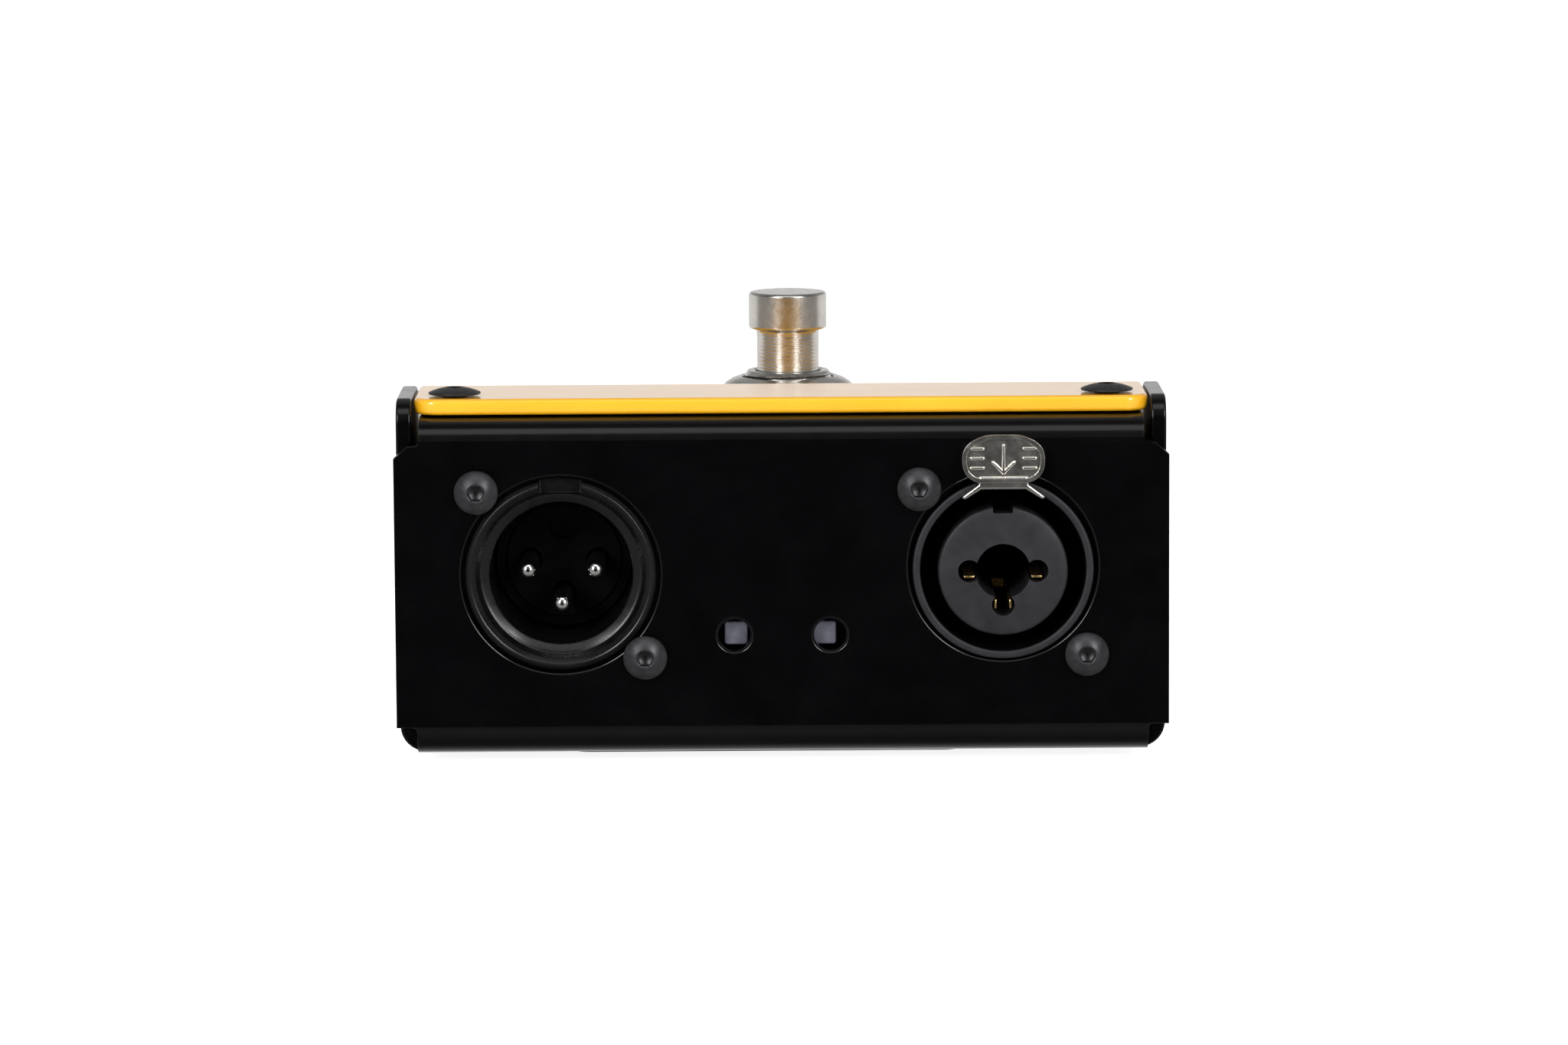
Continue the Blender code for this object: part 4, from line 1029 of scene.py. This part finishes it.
def make_output_pins():
    """Each pin has a round nose, a straight shank and a thin tail bent down to the board."""
    for number, (x, height) in enumerate(contact_places(OUTPUT), 1):
        node = f"output_pin_{number}"
        low, high = span(node)
        nose = [math.radians(90 * i / 10) for i in range(1, 11)]
        places = [(x, low.y + PIN_RADIUS * (1 - math.cos(a)), height) for a in nose]
        scales = [math.sin(a) for a in nose]
        thin = 0.35
        tail = high.y - PIN_RADIUS * thin
        places += [(x, OUTPUT_LENGTH, height), (x, OUTPUT_LENGTH + 0.3, height)]
        scales += [1.0, thin]
        for i in range(9):
            angle = math.radians(90 * i / 8)
            places.append((x, tail - 1 + math.sin(angle), height - 1 + math.cos(angle)))
            scales.append(thin)
        places.append((x, tail, low.z))
        scales.append(thin)
        stand_for(wire(node, places, PIN_RADIUS, scales, 8), node)


def make_input_housing():
    length = span("input_housing")[1].y
    lip = SLEEVE_BORE - 4
    profile = [
        (RING_OUTER, 0), (RING_OUTER, RING_FLOOR + 1.5), (SLEEVE_OUTER, RING_FLOOR + 1.5),
        (SLEEVE_OUTER, length), (lip, length), (lip, length - 1.5), (SLEEVE_BORE, length - 1.5),
        (SLEEVE_BORE, RING_FLOOR), (RING_INNER, RING_FLOOR), (RING_INNER, 0),
    ]
    housing = turned("housing", "XZ", (INPUT.x, INPUT.z + RING_RISE), eased(profile, 0.3, closed=True))
    flange = connector_flange(INPUT, RING_INNER + 0.5, PANEL_SCREWS[2:])
    low = (INPUT.x - 2.9, -PAST, INPUT.z + RING_INNER - 1.2)
    high = (INPUT.x + 2.9, 3.2, INPUT.z + RING_OUTER + PAST)
    housing = stand_for(cut(join(housing, flange), block("latch_gap", low, high)), "input_housing")
    # Faces more than 1 mm behind the panel's face get near-black nylon as painted shade inside the ring.
    paint_shade_deep(housing, 1.0, PAINTED_SHADE_NYLON)


def keyhole_cutter(low, high):
    """The jack's bore with a round lobe for each contact, as one cutter."""
    centre = (INPUT.x, INPUT.z)
    cutter = hole("XZ", centre, JACK_RADIUS, low, high, 0.25)
    lobes = [hole("XZ", place, LOBE_RADIUS, low, high, 0.2, 64) for place in contact_places(INPUT)]
    return join(cutter, *lobes)


def make_input_insert():
    low, high = span("input_insert")
    radius = (high.x - low.x) / 2
    crown = [(radius * i / 8, low.y + DISC_CROWN * (i / 8) ** 2) for i in range(9)]
    profile = [*crown, (radius, high.y), (0, high.y)]
    disc = turned("disc", "XZ", (INPUT.x, INPUT.z), eased(profile, 0.4))
    key_low = (INPUT.x - KEY_HALF, low.y - PAST, INPUT.z + radius - KEY_DROP)
    key_high = (INPUT.x + KEY_HALF, RING_FLOOR - PAST, INPUT.z + radius + PAST)
    key = soften(block("key", key_low, key_high), 0.2, 3)
    stand_for(cut(disc, keyhole_cutter(low.y, high.y), key), "input_insert")


def make_input_contacts():
    """Brass strips in the side lobes and a fork in the lower one."""
    for number in (1, 2):
        node = f"input_contact_{number}"
        low, high = span(node)
        outline = rectangle((low.x, high.x), (low.z, high.z))
        stand_for(soften(slab(node, "XZ", [outline], low.y, high.y), 0.08, 2), node)
    low, high = span("input_contact_3")
    prong = 0.3
    fork = [
        (low.x, low.y), (low.x + prong, low.y), (low.x + prong, high.y - 1), (high.x - prong, high.y - 1),
        (high.x - prong, low.y), (high.x, low.y), (high.x, high.y), (low.x, high.y),
    ]
    stand_for(soften(slab("fork", "XY", [fork], low.z, high.z), 0.08, 2), "input_contact_3")


def tab_outline(inset=0.0):
    """Front view of the push tab, wide and round with a low crown, drawn in by an inset."""
    low = INPUT.z + TAB_LOW + inset
    top = INPUT.z + TAB_TOP - inset
    half = LATCH_HALF - inset
    crown = 2.4
    foot = half - TAB_TAPER
    corners = [
        (INPUT.x - foot, low), (INPUT.x + foot, low), (INPUT.x + half, top - 1.5),
        (INPUT.x + crown, top), (INPUT.x - crown, top), (INPUT.x - half, top - 1.5),
    ]
    radii = [max(radius - inset, 0.3) for radius in (2.4, 2.4, 2.5, 5.0, 5.0, 2.5)]
    return fillet(corners, radii, closed=True, steps=10)


def stroke(start, end, half):
    """Outline of a straight stroke with round ends."""
    turn = math.atan2(end[1] - start[1], end[0] - start[0])
    outline = []
    for (x, z), first in ((end, turn - math.pi / 2), (start, turn + math.pi / 2)):
        for step in range(9):
            angle = first + math.pi * step / 8
            outline.append((x + half * math.cos(angle), z + half * math.sin(angle)))
    return outline


def latch_marks():
    """A raised arrow that points down, between two rows of short bars."""
    x, z = INPUT.x, INPUT.z + TAB_LOW
    tip = (x, z + 1.2)
    strokes = [(tip, (x, z + 4.6)), (tip, (x - 1.3, z + 2.5)), (tip, (x + 1.3, z + 2.5))]
    for side in (-1, 1):
        for level in (1.8, 3.0, 4.2):
            strokes.append(((x + side * 2.5, z + level), (x + side * 3.9, z + level)))
    outlines = [stroke(first, last, MARK_HALF) for first, last in strokes]
    return [slab("mark", "XZ", [outline], LATCH_FRONT + 0.02, LATCH_FRONT + 0.5) for outline in outlines]


def make_latch():
    """The push tab with its rim and sunk field, its neck, two feet on the ring, and a hook."""
    tab = slab("tab", "XZ", [tab_outline()], LATCH_FRONT, LATCH_FRONT + LATCH_THICK)
    field = slab("field", "XZ", [tab_outline(TAB_RIM)], LATCH_FRONT - PAST, LATCH_FRONT + TAB_SUNK)
    tab = soften(cut(tab, field), 0.25, 5)
    corners = [
        (-5.2, 9.45), (-4.8, 9.05), (-2.7, 10.35), (2.7, 10.35), (4.8, 9.05), (5.2, 9.45),
        (3.1, 10.95), (3.0, 12.0), (-3.0, 12.0), (-3.1, 10.95),
    ]
    outline = [(INPUT.x + x, INPUT.z + z) for x, z in corners]
    foot = soften(slab("foot", "XZ", [outline], LATCH_FRONT + 0.02, -0.5), 0.3, 4)
    low = (INPUT.x - HOOK_HALF, -0.8, INPUT.z + HOOK_LOW)
    high = (INPUT.x + HOOK_HALF, LATCH_HIGH.y, INPUT.z + HOOK_HIGH)
    hook = soften(block("hook", low, high), 0.1, 2)
    marks = [soften(mark, 0.19, 4) for mark in latch_marks()]
    stand_for(join(tab, foot, hook, *marks), "input_latch", nickel_pressed())


# ---- lamps


def make_lamps():
    for node in ("lamp_left", "lamp_right"):
        low, high = span(node)
        outline = rectangle((low.x, high.x), (low.z, high.z), 0.4)
        stand_for(soften(slab("lamp", "XZ", [outline], low.y, high.y), 0.25, 4), node)


# ---- footswitch


def threaded(name, radius, low, high, bore):
    """A tube with a V thread that winds up its outside and ends in chamfers."""
    around = 96
    rows = round((high - low) / THREAD_PITCH * 8)
    shape = bmesh.new()

    def ring(distance, reach_at):
        made = []
        for i in range(around):
            angle = 2 * math.pi * i / around
            reach = reach_at(angle, distance)
            place = (reach * math.cos(angle) * MM, reach * math.sin(angle) * MM, distance * MM)
            made.append(shape.verts.new(place))
        return made

    def crest(angle, distance):
        phase = (distance / THREAD_PITCH - angle / (2 * math.pi)) % 1
        groove = THREAD_DEPTH * abs(2 * phase - 1)
        chamfer = max(0, 0.5 - (high - distance)) + max(0, 0.4 - (distance - low))
        return radius - max(groove, chamfer)

    rings = [ring(low, lambda angle, distance: bore)]
    rings += [ring(low + (high - low) * i / rows, crest) for i in range(rows + 1)]
    rings.append(ring(high, lambda angle, distance: bore + 0.25))
    rings.append(ring(high - 0.25, lambda angle, distance: bore))
    for first, second in zip(rings, rings[1:] + rings[:1]):
        for i in range(around):
            j = (i + 1) % around
            shape.faces.new((first[i], first[j], second[j], second[i]))
    bmesh.ops.recalc_face_normals(shape, faces=shape.faces)
    return new_object(name, mesh_of(name, shape), Matrix.Translation(at(SWITCH.x, SWITCH.y, 0)))


def make_bushing():
    low = span("switch_bushing")[0].z
    shoulder = DECK_TOP - PLATE_THICK - GAP
    tube = threaded("tube", BUSHING_RADIUS, shoulder - 0.5, BUSHING_TOP, BUSHING_BORE)
    profile = [
        (COLLAR_RADIUS, shoulder), (COLLAR_RADIUS, low), (BUSHING_BORE, low), (BUSHING_BORE, shoulder),
    ]
    collar = turned("collar", "XY", (SWITCH.x, SWITCH.y), eased(profile, 0.2, closed=True))
    stand_for(join(tube, collar), "switch_bushing")


def make_washer_and_nut():
    centre = (SWITCH.x, SWITCH.y)
    low, high = span("switch_washer")
    radius = (high.x - low.x) / 2
    washer = [(SWITCH_HOLE, high.z), (radius, high.z), (radius, low.z), (SWITCH_HOLE, low.z)]
    stand_for(turned("washer", "XY", centre, eased(washer, 0.15, closed=True)), "switch_washer")
    low, high = span("switch_nut")
    radius = (high.x - low.x) / 2
    dome = [
        (SWITCH_HOLE, high.z - 0.05), (6.6, high.z), (7.6, high.z - 0.35), (8.4, high.z - 0.85),
        (radius, high.z - 1.4), (radius, low.z), (SWITCH_HOLE, low.z),
    ]
    stand_for(turned("nut", "XY", centre, eased(dome, 0.4, closed=True)), "switch_nut")


def stem_ridges():
    """The fine ridges that the lathe left down the stem, from the top."""
    steps = 6 * round((RIDGES_HIGH - RIDGES_LOW) / RIDGE_PITCH)
    points = []
    for i in range(steps + 1):
        dip = (1 - math.cos(math.pi * i / 3)) / 2
        height = RIDGES_HIGH - (RIDGES_HIGH - RIDGES_LOW) * i / steps
        points.append((STEM_RADIUS - RIDGE_DEPTH * dip, height))
    return points


def make_plunger():
    """Cap, stem, stop and spring spigot turned from one bar."""
    low = span("switch_plunger")[0].z
    profile = [
        (0, CAP_TOP), (CAP_RADIUS, CAP_TOP), (CAP_RADIUS, CAP_LOW), (STEM_RADIUS, CAP_LOW),
        (STEM_RADIUS, STOP_TOP), (STOP_RADIUS, STOP_TOP), (STOP_RADIUS, STEM_LOW),
        (SPIGOT_RADIUS, STEM_LOW), (SPIGOT_RADIUS, low), (0, low),
    ]
    outline = eased(profile, 0.45, steps=6)
    above = sum(1 for _, height in outline if height > RIDGES_HIGH)
    outline[above:above] = stem_ridges()
    stand_for(turned("plunger", "XY", (SWITCH.x, SWITCH.y), outline), "switch_plunger")


def make_switch_spring():
    """The return spring, wound as a fixed coil; the real one shortens by the footswitch's travel as the
    plunger is pressed.
    """
    low, high = span("switch_spring")
    radius = (high.x - low.x) / 2 - SPRING_WIRE
    start, end = low.z + SPRING_WIRE, high.z - SPRING_WIRE
    count = SPRING_TURNS * SPRING_STEPS
    places = []
    for i in range(count + 1):
        angle = 2 * math.pi * i / SPRING_STEPS
        level = start + (end - start) * i / count
        places.append((SWITCH.x + radius * math.cos(angle), SWITCH.y + radius * math.sin(angle), level))
    spring = stand_for(wire("coil", places, SPRING_WIRE, sides=3), "switch_spring")
    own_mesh(spring)


# ---- stage


def make_camera():
    data = bpy.data.cameras.new("camera")
    data.lens = LENS
    data.clip_start = 0.01
    data.clip_end = 20
    turn = Euler((math.radians(90 - PITCH), 0, math.radians(YAW))).to_matrix().to_4x4()
    roll = Matrix.Rotation(math.radians(ROLL), 4, "Z")
    place = at(CAMERA_X, -CAMERA_BACK, PLATE_TOP + CAMERA_RISE)
    bpy.context.scene.camera = new_object("camera", data, Matrix.Translation(place) @ turn @ roll)


def soft_light(name, place, size, power):
    """A rectangular soft box at a place in metres from the frame's origin, aimed at the box."""
    data = bpy.data.lights.new(name, "AREA")
    data.shape = "RECTANGLE"
    data.size, data.size_y = size
    data.energy = power
    lamp = new_object(name, data, Matrix.Translation(place))
    lamp.rotation_euler = (AIM - Vector(place)).to_track_quat("-Z", "Y").to_euler()
    lamp.visible_camera = False


def make_lights():
    for name, side in (("key_left", -1), ("key_right", 1)):
        soft_light(name, (side * 0.62, -0.95, 0.5), (0.25, 0.6), 6.5)
    soft_light("overhead", (0, -0.6, 1.0), (0.9, 0.5), 1.8)


def make_world():
    """A room with a pale rear, grey sides and a dark front, seen in reflections.

    To look at it is plain white, and diffuse light gets a little more from above.
    """
    world = bpy.data.worlds.new("studio")
    world.use_nodes = True
    bpy.context.scene.world = world
    tree = world.node_tree
    way = add(tree, "ShaderNodeTexCoord").outputs["Generated"]
    parts = add(tree, "ShaderNodeSeparateXYZ", {"Vector": way})
    front = ranged(tree, parts.outputs["Y"], 0.003, 0.3, -0.965, -0.93)
    rear = ranged(tree, parts.outputs["Y"], 0.0, 0.6, 0.1, 0.3)
    walls = maths(tree, "ADD", front, rear)
    ceiling = ranged(tree, parts.outputs["Z"], 1.0, 0.35, 0.15, 0.4)
    ground = ranged(tree, parts.outputs["Z"], 0.35, 1.0, -0.95, -0.6)
    height = maths(tree, "MULTIPLY", ceiling, ground)
    level = maths(tree, "MULTIPLY", walls, height)
    ray = add(tree, "ShaderNodeLightPath")
    sky = ranged(tree, parts.outputs["Z"], 0.0, 0.3, 0.2, 0.8)
    fill = maths(tree, "MULTIPLY", sky, ray.outputs["Is Diffuse Ray"])
    level = maths(tree, "ADD", level, fill)
    room = add(tree, "ShaderNodeBackground", {"Strength": level})
    plain = add(tree, "ShaderNodeBackground", {"Strength": 1.0})
    for background in (room, plain):
        background.inputs["Color"].default_value = (1, 1, 1, 1)
    inputs = {0: ray.outputs["Is Camera Ray"], 1: room.outputs[0], 2: plain.outputs[0]}
    both = add(tree, "ShaderNodeMixShader", inputs)
    tree.links.new(both.outputs[0], tree.nodes["World Output"].inputs["Surface"])


def make_floor():
    shape = bmesh.new()
    bmesh.ops.create_grid(shape, x_segments=1, y_segments=1, size=3.0)
    floor = bpy.data.objects.new("floor", mesh_of("floor", shape))
    floor.location.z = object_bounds()[0].z
    floor.visible_glossy = False
    bpy.context.scene.collection.objects.link(floor)
    paint = bpy.data.materials.new("floor_white")
    paint.use_nodes = True
    shader = paint.node_tree.nodes["Principled BSDF"]
    settings = {
        "Base Color": (0.9, 0.9, 0.9, 1), "Roughness": 0.7, "Specular IOR Level": 0.1,
        "Emission Color": (1, 1, 1, 1), "Emission Strength": 0.88,
    }
    for key, value in settings.items():
        shader.inputs[key].default_value = value
    floor.data.materials.append(paint)


def paint_carried_nodes():
    """Gives the CAD pieces that stay in view their own procedural materials."""
    # The jack's springs get bronze darkened as painted shade deep in the bore.
    bronze = bronze_with_painted_shade()
    for node, thing in frame["nodes"].items():
        thing.data.materials.clear()
        thing.data.materials.append(bronze if node.startswith("jack_") else SLOT_PAINTS[SLOT_OF[node]])


make_camera()
make_world()
make_lights()
make_floor()
paint_carried_nodes()
make_chassis()
make_top_plate()
make_bottom_pad()
make_screws()
make_output_shell()
make_output_insert()
make_output_pins()
make_input_housing()
make_input_insert()
make_input_contacts()
make_latch()
make_lamps()
make_bushing()
make_washer_and_nut()
make_plunger()
make_switch_spring()

bpy.context.scene.view_settings.view_transform = "Standard"
